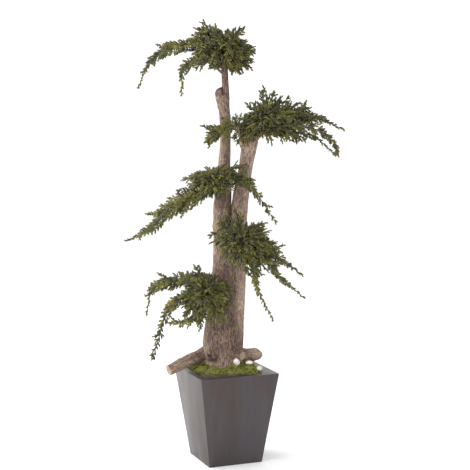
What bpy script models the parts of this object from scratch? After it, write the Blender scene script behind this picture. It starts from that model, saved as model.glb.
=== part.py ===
"""A preserved juniper tree in a tapered square metal pot.

A natural juniper log with two fused stems stands in a planted pot. Short boughs leave the stems
and carry five cloud-like clusters of preserved foliage, each a rounded crown with long weeping
trails. The foliage is grown by one seeded rule: an axis flows through a few named points as a slim
core, short needles stand out of it alternately and lean ahead, and shoots leave it at its sides.

The tree is laid out in its own frame (x across its broad side, y towards its back, z up) and then
turned as one on the pot, whose sides lie along X and Y. The origin is the middle of the pot's
underside.
"""
import math
import random

import bmesh
import bpy
from mathutils import Matrix, Vector, noise
from mathutils.bvhtree import BVHTree

for old in list(bpy.data.objects):
    bpy.data.objects.remove(old, do_unlink=True)

# Pot, in metres: a sheet metal planter with a folded rim
POT_TOP = 0.400
POT_FOOT = 0.274
POT_HEIGHT = 0.446
POT_WALL = 0.004
POT_FLOOR = 0.008
RIM_FOLD = 0.008
RIM_DEPTH = 0.010
CORNER = 0.004

# Planting
GAP = 0.0003
FILL_TOP = 0.400
MOSS_EDGE = 0.428
MOSS_PEAK = 0.490
MOSS_FALL = 1.7
MOSS_LOW_CORNER = 0.020
MOSS_LUMPS = 0.006
MOSS_RINGS = 5
MOSS_SUNK = 0.008
MOSS_CORNER = 0.003
PLANT_TURN = math.radians(-21.9)

# Trunk: height, middle across, middle towards the back, radius
TRUNK_SIDES = 20
TRUNK_RIBS = 0.022
FLARE = 0.05
FLARE_HEIGHT = 0.20
FUSE_FOOT = 0.88
FUSE_SPAN = 0.34
LOBE_APART = 0.488
LOBE_SIZE = 0.50
TRUNK_FOOT = FILL_TOP + GAP
FORK = 1.250
TRUNK = (
    (TRUNK_FOOT, -0.009, 0.000, 0.091),
    (0.500, -0.012, 0.000, 0.092),
    (0.575, -0.015, 0.002, 0.099),
    (0.670, -0.008, 0.005, 0.093),
    (0.810, 0.009, 0.006, 0.0855),
    (0.980, 0.019, 0.003, 0.082),
    (1.130, 0.021, 0.000, 0.081),
    (FORK, 0.0255, 0.000, 0.084),
)
TRUNK_LEVELS = [TRUNK_FOOT] + [0.50 + (FORK - 0.50) * k / 10 for k in range(11)]
STEM_RIBS = 0.05
STEM_TWIST = 17
LEFT_STEM = (
    (FORK + GAP, -0.016, 0.000, 0.0412),
    (1.330, -0.008, 0.006, 0.0380),
    (1.420, -0.007, 0.011, 0.0320),
    (1.520, -0.003, 0.010, 0.0270),
    (1.620, -0.001, 0.006, 0.0255),
    (1.700, -0.004, 0.002, 0.0275),
    (1.765, -0.012, 0.000, 0.0300),
)
RIGHT_STEM = (
    (FORK + GAP, 0.067, 0.000, 0.0402),
    (1.330, 0.080, 0.001, 0.0382),
    (1.390, 0.092, -0.003, 0.0345),
    (1.450, 0.101, -0.006, 0.0340),
    (1.520, 0.111, -0.006, 0.0380),
    (1.556, 0.114, -0.005, 0.0440),
)
TOP_STEM = (
    (1.765 + GAP, 0.003, 0.002, 0.0165),
    (1.820, 0.000, 0.003, 0.0165),
    (1.930, -0.006, 0.002, 0.0165),
)
SNAG = (
    (1.765 + GAP, -0.030, -0.001, 0.0150),
    (1.794, -0.034, -0.002, 0.0165),
    (1.816, -0.033, -0.002, 0.0125),
)
SNAG_SLOPE = 0.45

# Foliage, in metres: plumes, whose alternate points stand out of a slim core and lean ahead
TWIG_FOOT = 0.0050
THINNEST = 0.85
SHOOT_FOOT = 0.0026
TRAIL_PITCH = 0.0175
TRAIL_SIDES = 6
STEM_STRAIGHT = 0.012
STEM_STEPS = 3
FORK_SHARE = 0.6
FORK_THINNER = 0.93
FINE_STEPS = 40
CORE_SHARE = 0.50
TRAIL_FALL = 1.3
NEEDLE_REACH = (0.72, 1.18)
NEEDLE_LEAN = 1.15
SWELL_FOOT = 0.55
SWELL_RINGS = 4
SHOOT_ANGLE = math.radians(40)
SHOOT_ROLL = 0.7
SHOOT_SPAN = (0.10, 0.80)
SHOOT_SIDES = 4
SHOOT_STEPS = 4
SHOOT_WIDTH = (0.24, 0.10)
SHOOT_LENGTH = (2.1, 2.8)
SHOOT_LONGEST = 0.105
SHOOT_BEND = 0.06
CROWN_NEEDLES = (0.82, 1.12)
CROWN_CORE = 0.64
CROWN_LUMPS = 0.16
CROWN_LUMP_SIZE = 2.6
CROWN_STRAY = 0.45
CROWN_LEAN = 0.036
CROWN_DROOP = 0.40
LEADER_FOOT = 0.50
LEADER_MIDDLE = 0.75
LEADER_STEPS = 4
LEADER_REACH = (0.027, 0.012)
LEADER_LIFT = 0.06
STALK_FOOT = 0.008
STALK_SIDES = 4
SLEEVE_SIDES = 5
SLEEVE_REACH = 0.0085
LIMB_STEPS = 2
CLEAR = 0.0008
CORNER_SLACK = 1.25
DRAW_IN = 0.72
DRAW_ROUNDS = 14


def material(name, color, roughness, metallic=0.0):
    made = bpy.data.materials.new(name)
    made.use_nodes = True
    shader = made.node_tree.nodes["Principled BSDF"]
    shader.inputs["Base Color"].default_value = (*color, 1.0)
    shader.inputs["Roughness"].default_value = roughness
    shader.inputs["Metallic"].default_value = metallic
    return made


DARK_METAL = material("patinated_metal", (0.10, 0.085, 0.085), 0.42, 0.8)
SOIL = material("packed_fill", (0.09, 0.065, 0.045), 0.95)
MOSS = material("preserved_moss", (0.20, 0.23, 0.05), 0.95)
BARK = material("juniper_bark", (0.20, 0.14, 0.10), 0.9)
PEBBLE = material("white_pebble", (0.80, 0.76, 0.68), 0.6)
LEAF = material("preserved_foliage", (0.045, 0.055, 0.025), 0.8)

tree = bpy.data.objects.new("tree_frame", None)
bpy.context.scene.collection.objects.link(tree)
tree.rotation_euler = (0.0, 0.0, PLANT_TURN)


def finish(name, bm, skin, parent=None):
    """One named object from a bmesh, its faces cut to triangles and pointing out."""
    bmesh.ops.triangulate(bm, faces=bm.faces)
    bmesh.ops.recalc_face_normals(bm, faces=bm.faces)
    mesh = bpy.data.meshes.new(name)
    bm.to_mesh(mesh)
    bm.free()
    mesh.materials.append(skin)
    made = bpy.data.objects.new(name, mesh)
    bpy.context.scene.collection.objects.link(made)
    made.parent = parent
    return made


def loft(bm, rings):
    """A closed skin through rings of equal count, with a flat cap at each end."""
    rows = [[bm.verts.new(point) for point in ring] for ring in rings]
    for low, high in zip(rows, rows[1:]):
        for k in range(len(low)):
            after = (k + 1) % len(low)
            bm.faces.new((low[k], low[after], high[after], high[k]))
    bm.faces.new(rows[0][::-1])
    bm.faces.new(rows[-1])
    return bm


def between(stations, z):
    """Middle and radius at height z, between the stations above and below."""
    z = min(max(z, stations[0][0]), stations[-1][0])
    for low, high in zip(stations, stations[1:]):
        if z <= high[0]:
            share = (z - low[0]) / (high[0] - low[0])
            return [a + (b - a) * share for a, b in zip(low[1:], high[1:])]
    return list(stations[-1][1:])


# Pot: a closed outline with small round corners, lofted up the outside and down the inside
def square(half, z, corner=CORNER):
    points = []
    for quarter in range(4):
        for step in range(3):
            angle = math.radians(90 * quarter + 45 * step)
            middle = math.radians(90 * quarter + 45)
            reach = (half - corner) * math.sqrt(2)
            points.append(Vector((
                reach * math.cos(middle) + corner * math.cos(angle),
                reach * math.sin(middle) + corner * math.sin(angle),
                z,
            )))
    return points


def pot_half(z):
    return (POT_FOOT + (POT_TOP - POT_FOOT) * z / POT_HEIGHT) / 2


def bore_half(z):
    return pot_half(z) - POT_WALL


lip = POT_HEIGHT - RIM_DEPTH
pot = finish("pot", loft(bmesh.new(), [
    square(pot_half(0), 0),
    square(pot_half(POT_HEIGHT), POT_HEIGHT),
    square(pot_half(POT_HEIGHT) - RIM_FOLD, POT_HEIGHT),
    square(pot_half(POT_HEIGHT) - RIM_FOLD, lip),
    square(bore_half(lip), lip),
    square(bore_half(POT_FLOOR), POT_FLOOR),
]), DARK_METAL)

fill_floor = POT_FLOOR + GAP
fill = finish("fill", loft(bmesh.new(), [
    square(bore_half(fill_floor) - GAP, fill_floor),
    square(bore_half(FILL_TOP) - GAP, FILL_TOP),
]), SOIL)


# Trunk: rings round a leaning middle, ribbed below and parted by a groove into two lobes above
def trunk_ring(z):
    x, y, radius = between(TRUNK, z)
    fused = min(max((z - FUSE_FOOT) / FUSE_SPAN, 0.0), 1.0)
    fused = fused * fused * (3 - 2 * fused)
    flare = max(0.0, 1 - (z - TRUNK_FOOT) / FLARE_HEIGHT)
    ring = []
    for k in range(TRUNK_SIDES):
        angle = math.tau * k / TRUNK_SIDES
        lobes = LOBE_APART * abs(math.cos(angle))
        lobes += math.sqrt(LOBE_SIZE ** 2 - (LOBE_APART * math.sin(angle)) ** 2)
        shape = 1 + (lobes - 1) * fused
        shape *= 1 + TRUNK_RIBS * math.sin(5 * angle + 2.0 * z) * (1 - fused)
        shape *= 1 + FLARE * flare * flare * math.cos(3 * angle + 0.6)
        ring.append(Vector((
            x + radius * shape * math.cos(angle),
            y + radius * shape * math.sin(angle),
            z,
        )))
    return ring


trunk = finish("trunk", loft(bmesh.new(), [trunk_ring(z) for z in TRUNK_LEVELS]), BARK, tree)


# Moss: a mound from the trunk's skin out to the pot's wall, sunk lower in the right-hand corner
def wall_reach(angle, z, middle):
    """Distance from the trunk's middle to the pot's wall along an angle of the tree's frame."""
    turned = Matrix.Rotation(PLANT_TURN, 2)
    start = turned @ Vector(middle)
    along = turned @ Vector((math.cos(angle), math.sin(angle)))
    half = bore_half(z) - 2 * GAP
    reaches = []
    for axis in range(2):
        if abs(along[axis]) > 1e-6:
            side = math.copysign(half, along[axis])
            reaches.append((side - start[axis]) / along[axis])
    return min(reaches)


def mound(x, y, share):
    """Height of the moss, by place and by share of the way from trunk to wall."""
    rise = (1 - share ** MOSS_FALL) * (MOSS_PEAK - MOSS_EDGE)
    sunk = MOSS_LOW_CORNER * max(0.0, min(1.0, (x - 0.12) / 0.12)) * share
    lumps = MOSS_LUMPS * noise.noise(Vector((x * 22, y * 22, 3.0))) * math.sin(math.pi * share)
    return MOSS_EDGE + rise - sunk + lumps


foot_ring = trunk_ring(TRUNK_LEVELS[0])
knee_ring = trunk_ring(TRUNK_LEVELS[1])
moss_middle = (TRUNK[0][1], TRUNK[0][2])
corner_angles = [math.radians(45 + 90 * k) - PLANT_TURN for k in range(4)]
bm = bmesh.new()
rows = []
for k in range(TRUNK_SIDES):
    angle = math.tau * k / TRUNK_SIDES
    outward = Vector((math.cos(angle), math.sin(angle), 0))
    crest = mound(*(Vector(moss_middle) + outward.xy * TRUNK[0][3]), 0.0)
    climb = (crest - TRUNK_LEVELS[0]) / (TRUNK_LEVELS[1] - TRUNK_LEVELS[0])
    inner = foot_ring[k].lerp(knee_ring[k], climb) - outward * MOSS_SUNK
    near = min(corner_angles, key=lambda a: abs(math.remainder(a - angle, math.tau)))
    snapped = abs(math.remainder(near - angle, math.tau)) < math.pi / TRUNK_SIDES
    aim = near if snapped else angle
    row = [foot_ring[k] - outward * MOSS_SUNK, inner]
    for step in range(1, MOSS_RINGS + 1):
        share = step / MOSS_RINGS
        edge = wall_reach(aim, MOSS_EDGE - 0.02, moss_middle) - (MOSS_CORNER if snapped else 0.0)
        rim = Vector((math.cos(aim), math.sin(aim))) * edge + Vector(moss_middle)
        place = inner.xy.lerp(rim, share)
        row.append(Vector((*place, mound(*place, share))))
    edge = wall_reach(aim, TRUNK_FOOT, moss_middle) - (MOSS_CORNER if snapped else 0.0)
    rim = Vector((math.cos(aim), math.sin(aim))) * edge + Vector(moss_middle)
    row.append(Vector((*rim, TRUNK_FOOT)))
    rows.append([bm.verts.new(point) for point in row])
for k in range(TRUNK_SIDES):
    here = rows[k]
    there = rows[(k + 1) % TRUNK_SIDES]
    for step in range(len(here)):
        after = (step + 1) % len(here)
        bm.faces.new((here[step], there[step], there[after], here[after]))
moss = finish("moss", bm, MOSS, tree)


# Limbs: round tapering pieces along a line, cut clear of what they grow from
def flow(points, count):
    """Points along a smooth line through the given ones."""
    points = [Vector(point) for point in points]
    padded = [2 * points[0] - points[1]] + points + [2 * points[-1] - points[-2]]
    line = []
    for k in range(count + 1):
        reach = (len(points) - 1) * k / count
        span = min(int(reach), len(points) - 2)
        t = reach - span
        a, b, c, d = padded[span:span + 4]
        line.append(0.5 * (2 * b + (c - a) * t + (2 * a - 5 * b + 4 * c - d) * t ** 2
                           + (3 * b - a - 3 * c + d) * t ** 3))
    return line


def tube_rings(line, radii, sides, lumps=0.0):
    """Rings square to a line, carried along it without twist."""
    rings = []
    across = None
    for k, point in enumerate(line):
        ahead = (line[min(k + 1, len(line) - 1)] - line[max(k - 1, 0)]).normalized()
        across = across or ahead.orthogonal().normalized()
        across = (across - ahead * across.dot(ahead)).normalized()
        beside = ahead.cross(across)
        ring = []
        for side in range(sides):
            angle = math.tau * side / sides
            aim = across * math.cos(angle) + beside * math.sin(angle)
            swell = 1 + lumps * noise.noise((point + aim * 0.03) * 24)
            ring.append(point + aim * radii[k] * swell)
        rings.append(ring)
    return rings


def upright(name, stations, sides, levels, tilt=0.0):
    """A standing stem with level cuts; tilt slopes the last cut down towards the left."""
    rings = []
    for step in range(levels + 1):
        z = stations[0][0] + (stations[-1][0] - stations[0][0]) * step / levels
        x, y, radius = between(stations, z)
        ring = []
        for k in range(sides):
            angle = math.tau * k / sides
            swell = 1 + STEM_RIBS * math.sin(3 * angle + STEM_TWIST * z)
            point = Vector((
                x + radius * swell * math.cos(angle),
                y + radius * swell * math.sin(angle),
                z,
            ))
            if step == levels:
                point.z += tilt * (point.x - x)
            ring.append(point)
        rings.append(ring)
    return finish(name, loft(bmesh.new(), rings), BARK, tree)


left_stem = upright("left_stem", LEFT_STEM, 14, 8)
right_stem = upright("right_stem", RIGHT_STEM, 14, 6)
top_stem = upright("top_stem", TOP_STEM, 10, 3)
snag = upright("snag", SNAG, 10, 3, tilt=SNAG_SLOPE)


def swollen(source, by):
    """A wire copy of an object, its skin moved out by a small amount."""
    bm = bmesh.new()
    bm.from_mesh(source.data)
    bm.normal_update()
    for vert in bm.verts:
        vert.co += vert.normal * by * CORNER_SLACK
    mesh = bpy.data.meshes.new(source.name + "_clear")
    bm.to_mesh(mesh)
    bm.free()
    made = bpy.data.objects.new(mesh.name, mesh)
    bpy.context.scene.collection.objects.link(made)
    made.parent = source.parent
    return made


def apply_boolean(target, operation, cutters):
    """Join or cut the target with a collection of solids, apply it and remove them."""
    group = bpy.data.collections.new("operands")
    bpy.context.scene.collection.children.link(group)
    for cutter in cutters:
        group.objects.link(cutter)
    step = target.modifiers.new("solids", "BOOLEAN")
    step.operation = operation
    step.operand_type = "COLLECTION"
    step.collection = group
    step.solver = "MANIFOLD"
    bpy.context.view_layer.update()
    shape = target.evaluated_get(bpy.context.evaluated_depsgraph_get())
    mesh = bpy.data.meshes.new_from_object(shape)
    target.modifiers.clear()
    target.data = mesh
    for cutter in cutters:
        bpy.data.objects.remove(cutter, do_unlink=True)
    bpy.data.collections.remove(group)


def keep_largest(target):
    """Drop loose scraps and the skins of sealed hollows."""
    bm = bmesh.new()
    bm.from_mesh(target.data)
    bmesh.ops.triangulate(bm, faces=bm.faces)
    left = set(bm.verts)
    islands = []
    while left:
        stack = [left.pop()]
        island = set(stack)
        while stack:
            for edge in stack.pop().link_edges:
                for vert in edge.verts:
                    if vert in left:
                        left.discard(vert)
                        island.add(vert)
                        stack.append(vert)
        islands.append(island)
    islands.sort(key=len, reverse=True)
    scraps = [vert for island in islands[1:] for vert in island]
    bmesh.ops.delete(bm, geom=scraps, context="VERTS")
    bm.to_mesh(target.data)
    bm.free()


def limb(name, grows_from, points, radii, sides=7, steps=LIMB_STEPS, lumps=0.10):
    """A tapering limb whose root is cut 0.3 mm clear of the piece that carries it."""
    line = flow(points, steps)
    swell = [radii[0] + (radii[1] - radii[0]) * k / steps for k in range(steps + 1)]
    made = finish(name, loft(bmesh.new(), tube_rings(line, swell, sides, lumps)), BARK, tree)
    apply_boolean(made, "DIFFERENCE", [swollen(piece, GAP) for piece in grows_from])
    keep_largest(made)
    return made


left_log = limb(
    "left_log", [trunk], [(-0.055, -0.006, 0.545), (-0.112, -0.022, 0.523), (-0.190, -0.062, 0.492),
                          (-0.268, -0.098, 0.461)], (0.031, 0.0248), sides=12, steps=6)
right_log = limb(
    "right_log", [trunk], [(0.050, 0.035, 0.516), (0.110, 0.038, 0.514), (0.170, 0.034, 0.511)],
    (0.036, 0.027), sides=12, steps=4, lumps=0.30)
cut_stub = limb(
    "cut_stub", [trunk, right_log], [(0.050, -0.045, 0.520), (0.072, -0.075, 0.533),
                                     (0.082, -0.094, 0.541)], (0.020, 0.017), sides=10, steps=2)

apply_boolean(moss, "DIFFERENCE",
              [swollen(piece, GAP) for piece in (trunk, left_log, right_log, cut_stub)])
keep_largest(moss)

# Boughs: what each grows from, its line and its radii at root and tip
BOUGHS = {
    "top_arm_bough": (top_stem, [(-0.004, 0.004, 1.898), (-0.026, 0.006, 1.920),
                                 (-0.042, 0.008, 1.942)], (0.0085, 0.0065)),
    "top_trail_bough": (top_stem, [(-0.004, -0.004, 1.878), (-0.022, -0.018, 1.892),
                                   (-0.040, -0.030, 1.906)], (0.0080, 0.0060)),
    "right_arm_bough": (right_stem, [(0.092, -0.016, 1.520), (0.066, -0.048, 1.545),
                                     (0.058, -0.062, 1.575)], (0.0150, 0.0080)),
    "right_trail_bough": (right_stem, [(0.130, 0.012, 1.515), (0.166, 0.026, 1.552),
                                       (0.192, 0.034, 1.574)], (0.0140, 0.0080)),
    "right_drop_bough": (right_stem, [(0.134, -0.020, 1.520), (0.168, -0.038, 1.558),
                                      (0.196, -0.048, 1.590)], (0.0130, 0.0080)),
    "middle_bough": (left_stem, [(-0.010, 0.000, 1.345), (-0.024, -0.040, 1.352),
                                 (-0.034, -0.060, 1.358)], (0.0140, 0.0090)),
    "middle_arm_bough": (left_stem, [(-0.014, 0.004, 1.318), (-0.052, -0.026, 1.326),
                                     (-0.078, -0.044, 1.330)], (0.0130, 0.0080)),
    "middle_trail_bough": (left_stem, [(0.004, 0.000, 1.350), (0.016, -0.034, 1.362),
                                       (0.024, -0.052, 1.374)], (0.0085, 0.0060)),
    "middle_back_bough": (left_stem, [(-0.010, 0.010, 1.345), (-0.026, 0.054, 1.355),
                                      (-0.034, 0.072, 1.362)], (0.0130, 0.0090)),
    "low_right_bough": (trunk, [(0.036, -0.020, 1.030), (0.050, -0.084, 1.048),
                                (0.056, -0.104, 1.058)], (0.0170, 0.0100)),
    "low_right_trail_bough": (trunk, [(0.058, -0.010, 0.990), (0.094, -0.078, 1.008),
                                      (0.108, -0.102, 1.014)], (0.0140, 0.0080)),
    "low_right_back_bough": (trunk, [(0.046, 0.020, 1.020), (0.062, 0.084, 1.044),
                                     (0.070, 0.104, 1.056)], (0.0150, 0.0100)),
    "low_left_bough": (trunk, [(-0.010, -0.030, 0.800), (-0.048, -0.092, 0.812),
                               (-0.058, -0.110, 0.818)], (0.0170, 0.0100)),
    "low_left_trail_bough": (trunk, [(-0.030, -0.020, 0.826), (-0.086, -0.066, 0.838),
                                     (-0.104, -0.080, 0.842)], (0.0140, 0.0080)),
    "low_left_drop_bough": (trunk, [(-0.030, -0.020, 0.762), (-0.078, -0.078, 0.772),
                                    (-0.094, -0.094, 0.776)], (0.0140, 0.0080)),
    "low_left_back_bough": (trunk, [(-0.012, 0.020, 0.800), (-0.050, 0.086, 0.818),
                                    (-0.062, 0.106, 0.826)], (0.0150, 0.0100)),
}
boughs = {
    name: limb(name, [carrier], points, radii)
    for name, (carrier, points, radii) in BOUGHS.items()
}


def bough_tip(name):
    """The point 0.3 mm past a bough's tip, where a mass's own stem starts, and its direction."""
    line = flow(BOUGHS[name][1], LIMB_STEPS)
    ahead = (line[-1] - line[-2]).normalized()
    return line[-1] + ahead * GAP, ahead


# Foliage masses. A trail leaves its bough as a bare stem and flows through named points. From a
# share of its way it is a plume, whose half-width narrows from the first reach to the second.
TRAILS = {
    "top_arm": dict(
        bough="top_arm_bough", seed=11, start=0.26, shoots=4,
        axes=[dict(through=[(-0.100, 0.000, 2.008), (-0.318, -0.030, 1.976),
                            (-0.417, -0.060, 1.806)], reach=(0.052, 0.007))]),
    "top_trail": dict(
        bough="top_trail_bough", seed=12, start=0.38, shoots=1,
        axes=[dict(through=[(-0.112, -0.070, 1.944), (-0.188, -0.080, 1.908),
                            (-0.201, -0.090, 1.780)], reach=(0.044, 0.008))]),
    "right_arm": dict(
        bough="right_arm_bough", seed=13, start=0.12, shoots=2,
        axes=[dict(through=[(0.037, -0.092, 1.632), (-0.035, -0.106, 1.612),
                            (-0.093, -0.110, 1.557)], reach=(0.052, 0.014))]),
    "right_trail_high": dict(
        bough="right_trail_bough", seed=14, start=0.38, shoots=1,
        axes=[dict(through=[(0.287, 0.044, 1.676), (0.433, 0.040, 1.680),
                            (0.578, 0.040, 1.600)], reach=(0.040, 0.007)),
              dict(through=[(0.270, 0.054, 1.592), (0.420, 0.060, 1.580),
                            (0.543, 0.060, 1.488)], reach=(0.034, 0.008))]),
    "right_trail_low": dict(
        bough="right_drop_bough", seed=15, start=0.36, shoots=2,
        axes=[dict(through=[(0.308, -0.060, 1.640), (0.460, -0.080, 1.611),
                            (0.537, -0.080, 1.512)], reach=(0.034, 0.008))]),
    "middle_arm": dict(
        bough="middle_arm_bough", seed=16, start=0.14, shoots=3,
        axes=[dict(through=[(-0.188, -0.095, 1.279), (-0.359, -0.105, 1.150),
                            (-0.480, -0.110, 1.083)], reach=(0.074, 0.006))]),
    "middle_trail": dict(
        bough="middle_trail_bough", seed=17, start=0.22, shoots=1,
        axes=[dict(through=[(0.070, -0.090, 1.380), (0.130, -0.090, 1.338),
                            (0.241, -0.100, 1.174)], reach=(0.030, 0.008))]),
    "low_right_trails": dict(
        bough="low_right_trail_bough", seed=18, start=0.34, shoots=1,
        axes=[dict(through=[(0.190, -0.130, 1.048), (0.274, -0.130, 1.006),
                            (0.363, -0.140, 0.930)], reach=(0.042, 0.007)),
              dict(through=[(0.180, -0.150, 1.006), (0.246, -0.160, 0.917),
                            (0.374, -0.170, 0.822)], reach=(0.046, 0.008)),
              dict(through=[(0.132, -0.160, 0.984), (0.140, -0.180, 0.872),
                            (0.226, -0.180, 0.716)], reach=(0.036, 0.008))]),
    "low_left_arm": dict(
        bough="low_left_trail_bough", seed=19, start=0.16, shoots=4,
        axes=[dict(through=[(-0.170, -0.120, 0.890), (-0.340, -0.140, 0.874),
                            (-0.374, -0.140, 0.734)], reach=(0.054, 0.010))]),
    "low_left_drop": dict(
        bough="low_left_drop_bough", seed=20, start=0.20, shoots=2,
        axes=[dict(through=[(-0.160, -0.130, 0.816), (-0.270, -0.150, 0.758),
                            (-0.346, -0.160, 0.528)], reach=(0.036, 0.012)),
              dict(through=[(-0.120, -0.130, 0.746), (-0.180, -0.140, 0.712),
                            (-0.271, -0.140, 0.696)], reach=(0.036, 0.010))]),
}

# A crown fans out from its heart. Its reach is given for eight bearings round the broad side
# (right, upper right, up, upper left, left, lower left, down, lower right) and for front and back.
# Its tips are needles of the core that stand out of the outline and its leaders are whole plumes
# fused on, both as offsets from the heart.
CROWNS = {
    "top_crown": dict(
        foot=(TOP_STEM[-1][1], TOP_STEM[-1][2], TOP_STEM[-1][0] + GAP), heart=(0.000, 0.000, 1.984),
        reach=(0.152, 0.114, 0.100, 0.178, 0.165, 0.108, 0.088, 0.136), front=0.165, back=0.175,
        grid=8, seed=31,
        tips=[(-0.060, -0.020, 0.116), (0.028, 0.020, 0.118), (0.162, 0.000, 0.020),
              (-0.140, -0.030, -0.080), (0.060, 0.000, -0.100), (0.078, 0.000, 0.126),
              (-0.156, 0.020, 0.078), (0.142, 0.000, -0.076), (-0.070, 0.175, 0.020)],
        leaders=[(-0.120, 0.010, 0.147), (0.106, -0.010, 0.118), (0.020, -0.175, 0.030)]),
    "right_crown": dict(
        foot=(RIGHT_STEM[-1][1], RIGHT_STEM[-1][2], RIGHT_STEM[-1][0] + GAP),
        heart=(0.180, 0.000, 1.652),
        reach=(0.205, 0.155, 0.128, 0.112, 0.116, 0.150, 0.080, 0.124), front=0.165, back=0.175,
        grid=8, seed=32,
        tips=[(-0.084, 0.000, 0.084), (0.040, 0.010, 0.150), (0.070, 0.000, 0.140),
              (0.140, 0.010, 0.116), (0.030, 0.000, 0.165), (0.200, -0.040, -0.090), (0.130, 0.000, -0.100),
              (-0.116, -0.030, -0.090), (-0.060, -0.060, -0.110), (-0.020, 0.180, 0.010)],
        leaders=[(0.012, 0.010, 0.168), (0.232, 0.000, 0.066), (0.060, -0.178, 0.010)]),
    "middle_crown": dict(
        bough="middle_bough", heart=(-0.052, -0.096, 1.378),
        reach=(0.120, 0.110, 0.058, 0.072, 0.138, 0.125, 0.080, 0.090), front=0.110, back=0.120,
        grid=7, seed=33,
        tips=[(-0.010, 0.000, 0.054), (-0.098, 0.010, 0.028), (-0.060, 0.010, 0.044),
              (-0.090, 0.000, -0.120)],
        leaders=[(0.126, 0.020, 0.078), (-0.142, 0.020, 0.004), (-0.060, -0.100, -0.070)]),
    "middle_crown_back": dict(
        bough="middle_back_bough", heart=(-0.050, 0.108, 1.366),
        reach=(0.110, 0.085, 0.056, 0.075, 0.110, 0.090, 0.060, 0.080), front=0.080, back=0.120,
        grid=5, seed=34,
        tips=[(0.120, 0.030, 0.010), (-0.020, 0.140, 0.010)],
        leaders=[(-0.130, 0.030, -0.020)]),
    "low_right_crown": dict(
        bough="low_right_bough", heart=(0.084, -0.158, 1.092),
        reach=(0.136, 0.130, 0.100, 0.110, 0.135, 0.115, 0.132, 0.165), front=0.105, back=0.140,
        grid=7, seed=35,
        tips=[(0.042, 0.000, 0.100), (0.106, 0.010, 0.098), (0.150, 0.010, -0.060),
              (-0.030, 0.000, 0.110), (0.110, -0.020, -0.135), (0.010, 0.010, -0.155)],
        leaders=[(-0.036, 0.020, 0.156), (-0.160, 0.010, 0.030), (0.020, -0.120, -0.030)]),
    "low_right_crown_back": dict(
        bough="low_right_back_bough", heart=(0.086, 0.150, 1.070),
        reach=(0.110, 0.090, 0.065, 0.080, 0.100, 0.080, 0.070, 0.095), front=0.080, back=0.115,
        grid=5, seed=36,
        tips=[(0.120, 0.030, -0.010), (0.020, 0.135, -0.010)],
        leaders=[(-0.110, 0.030, 0.000)]),
    "low_left_crown": dict(
        bough="low_left_bough", heart=(-0.086, -0.160, 0.844),
        reach=(0.115, 0.115, 0.100, 0.128, 0.125, 0.150, 0.120, 0.115), front=0.105, back=0.140,
        grid=7, seed=37,
        tips=[(-0.092, 0.010, 0.096), (0.110, 0.030, 0.030), (-0.110, 0.000, -0.110),
              (-0.020, 0.000, 0.110), (0.030, 0.000, -0.132)],
        leaders=[(-0.048, 0.020, 0.130), (0.124, 0.030, 0.004), (-0.040, -0.115, -0.020)]),
    "low_left_crown_back": dict(
        bough="low_left_back_bough", heart=(-0.078, 0.152, 0.836),
        reach=(0.100, 0.080, 0.062, 0.080, 0.095, 0.080, 0.070, 0.085), front=0.080, back=0.115,
        grid=5, seed=38,
        tips=[(-0.110, 0.030, -0.010), (-0.010, 0.135, 0.010)],
        leaders=[(0.105, 0.030, 0.000)]),
}


def along(line, share):
    """Point and direction at a share of the way along a line."""
    reach = share * (len(line) - 1)
    span = min(int(reach), len(line) - 2)
    return line[span].lerp(line[span + 1], reach - span), (line[span + 1] - line[span]).normalized()


def plume(line, bare, foot, reach, sides, dice, fall=1.0):
    """A stem along a line, bare for some rings, then with needles standing out alternately."""
    last = len(line) - 1
    low = []
    high = []
    for k in range(last + 1):
        share = max(k - bare, 0) / (last - bare)
        full = reach[0] + (reach[1] - reach[0]) * share ** fall
        full *= min(1.0, SWELL_FOOT + (1 - SWELL_FOOT) * max(k - bare, 0) / SWELL_RINGS)
        low.append(foot if k <= bare else max(full * CORE_SHARE, foot * THINNEST))
        high.append(foot if k <= bare else full)
    bm = bmesh.new()
    rings = []
    middles = {}
    pairs = zip(tube_rings(line, low, sides)[:-1], tube_rings(line, high, sides)[:-1])
    for k, (inner, outer) in enumerate(pairs):
        lean = (line[k + 1] - line[k]) * NEEDLE_LEAN
        rings.append([])
        for side in range(sides):
            stands = k > bare and (k + side) % 2 == 0
            point = inner[side]
            if stands:
                point = line[k] + (outer[side] - line[k]) * dice.uniform(*NEEDLE_REACH) + lean
            vert = bm.verts.new(point)
            if k > bare:
                middles[vert] = line[k] + lean if stands else line[k]
            rings[-1].append(vert)
    for k, (here, there) in enumerate(zip(rings, rings[1:])):
        for side in range(sides):
            after = (side + 1) % sides
            corners = [here[side], here[after], there[after], there[side]]
            if (k + side) % 2 == 0:
                corners = corners[1:] + corners[:1]
            bm.faces.new(corners[:3])
            bm.faces.new((corners[0], corners[2], corners[3]))
    tip = bm.verts.new(line[-1])
    for side in range(sides):
        bm.faces.new((rings[-1][side], rings[-1][(side + 1) % sides], tip))
    bm.faces.new(rings[0][::-1])
    bmesh.ops.recalc_face_normals(bm, faces=bm.faces)
    return bm, middles


def hits(bm, obstacles):
    """The faces of a small solid that touch any of the obstacles."""
    tree_of_faces = BVHTree.FromBMesh(bm)
    return {pair[0] for other in obstacles for pair in tree_of_faces.overlap(other)}


def draw_in(bm, middles, obstacles):
    """Draw a plume's points in to its stem wherever they touch a neighbour."""
    for _ in range(DRAW_ROUNDS):
        bm.faces.ensure_lookup_table()
        touching = [bm.faces[index] for index in hits(bm, obstacles)]
        points = {vert for face in touching for vert in face.verts if vert in middles}
        for vert in points:
            offset = vert.co - middles[vert]
            if offset.length * DRAW_IN > TWIG_FOOT * THINNEST:
                vert.co = middles[vert] + offset * DRAW_IN


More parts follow.
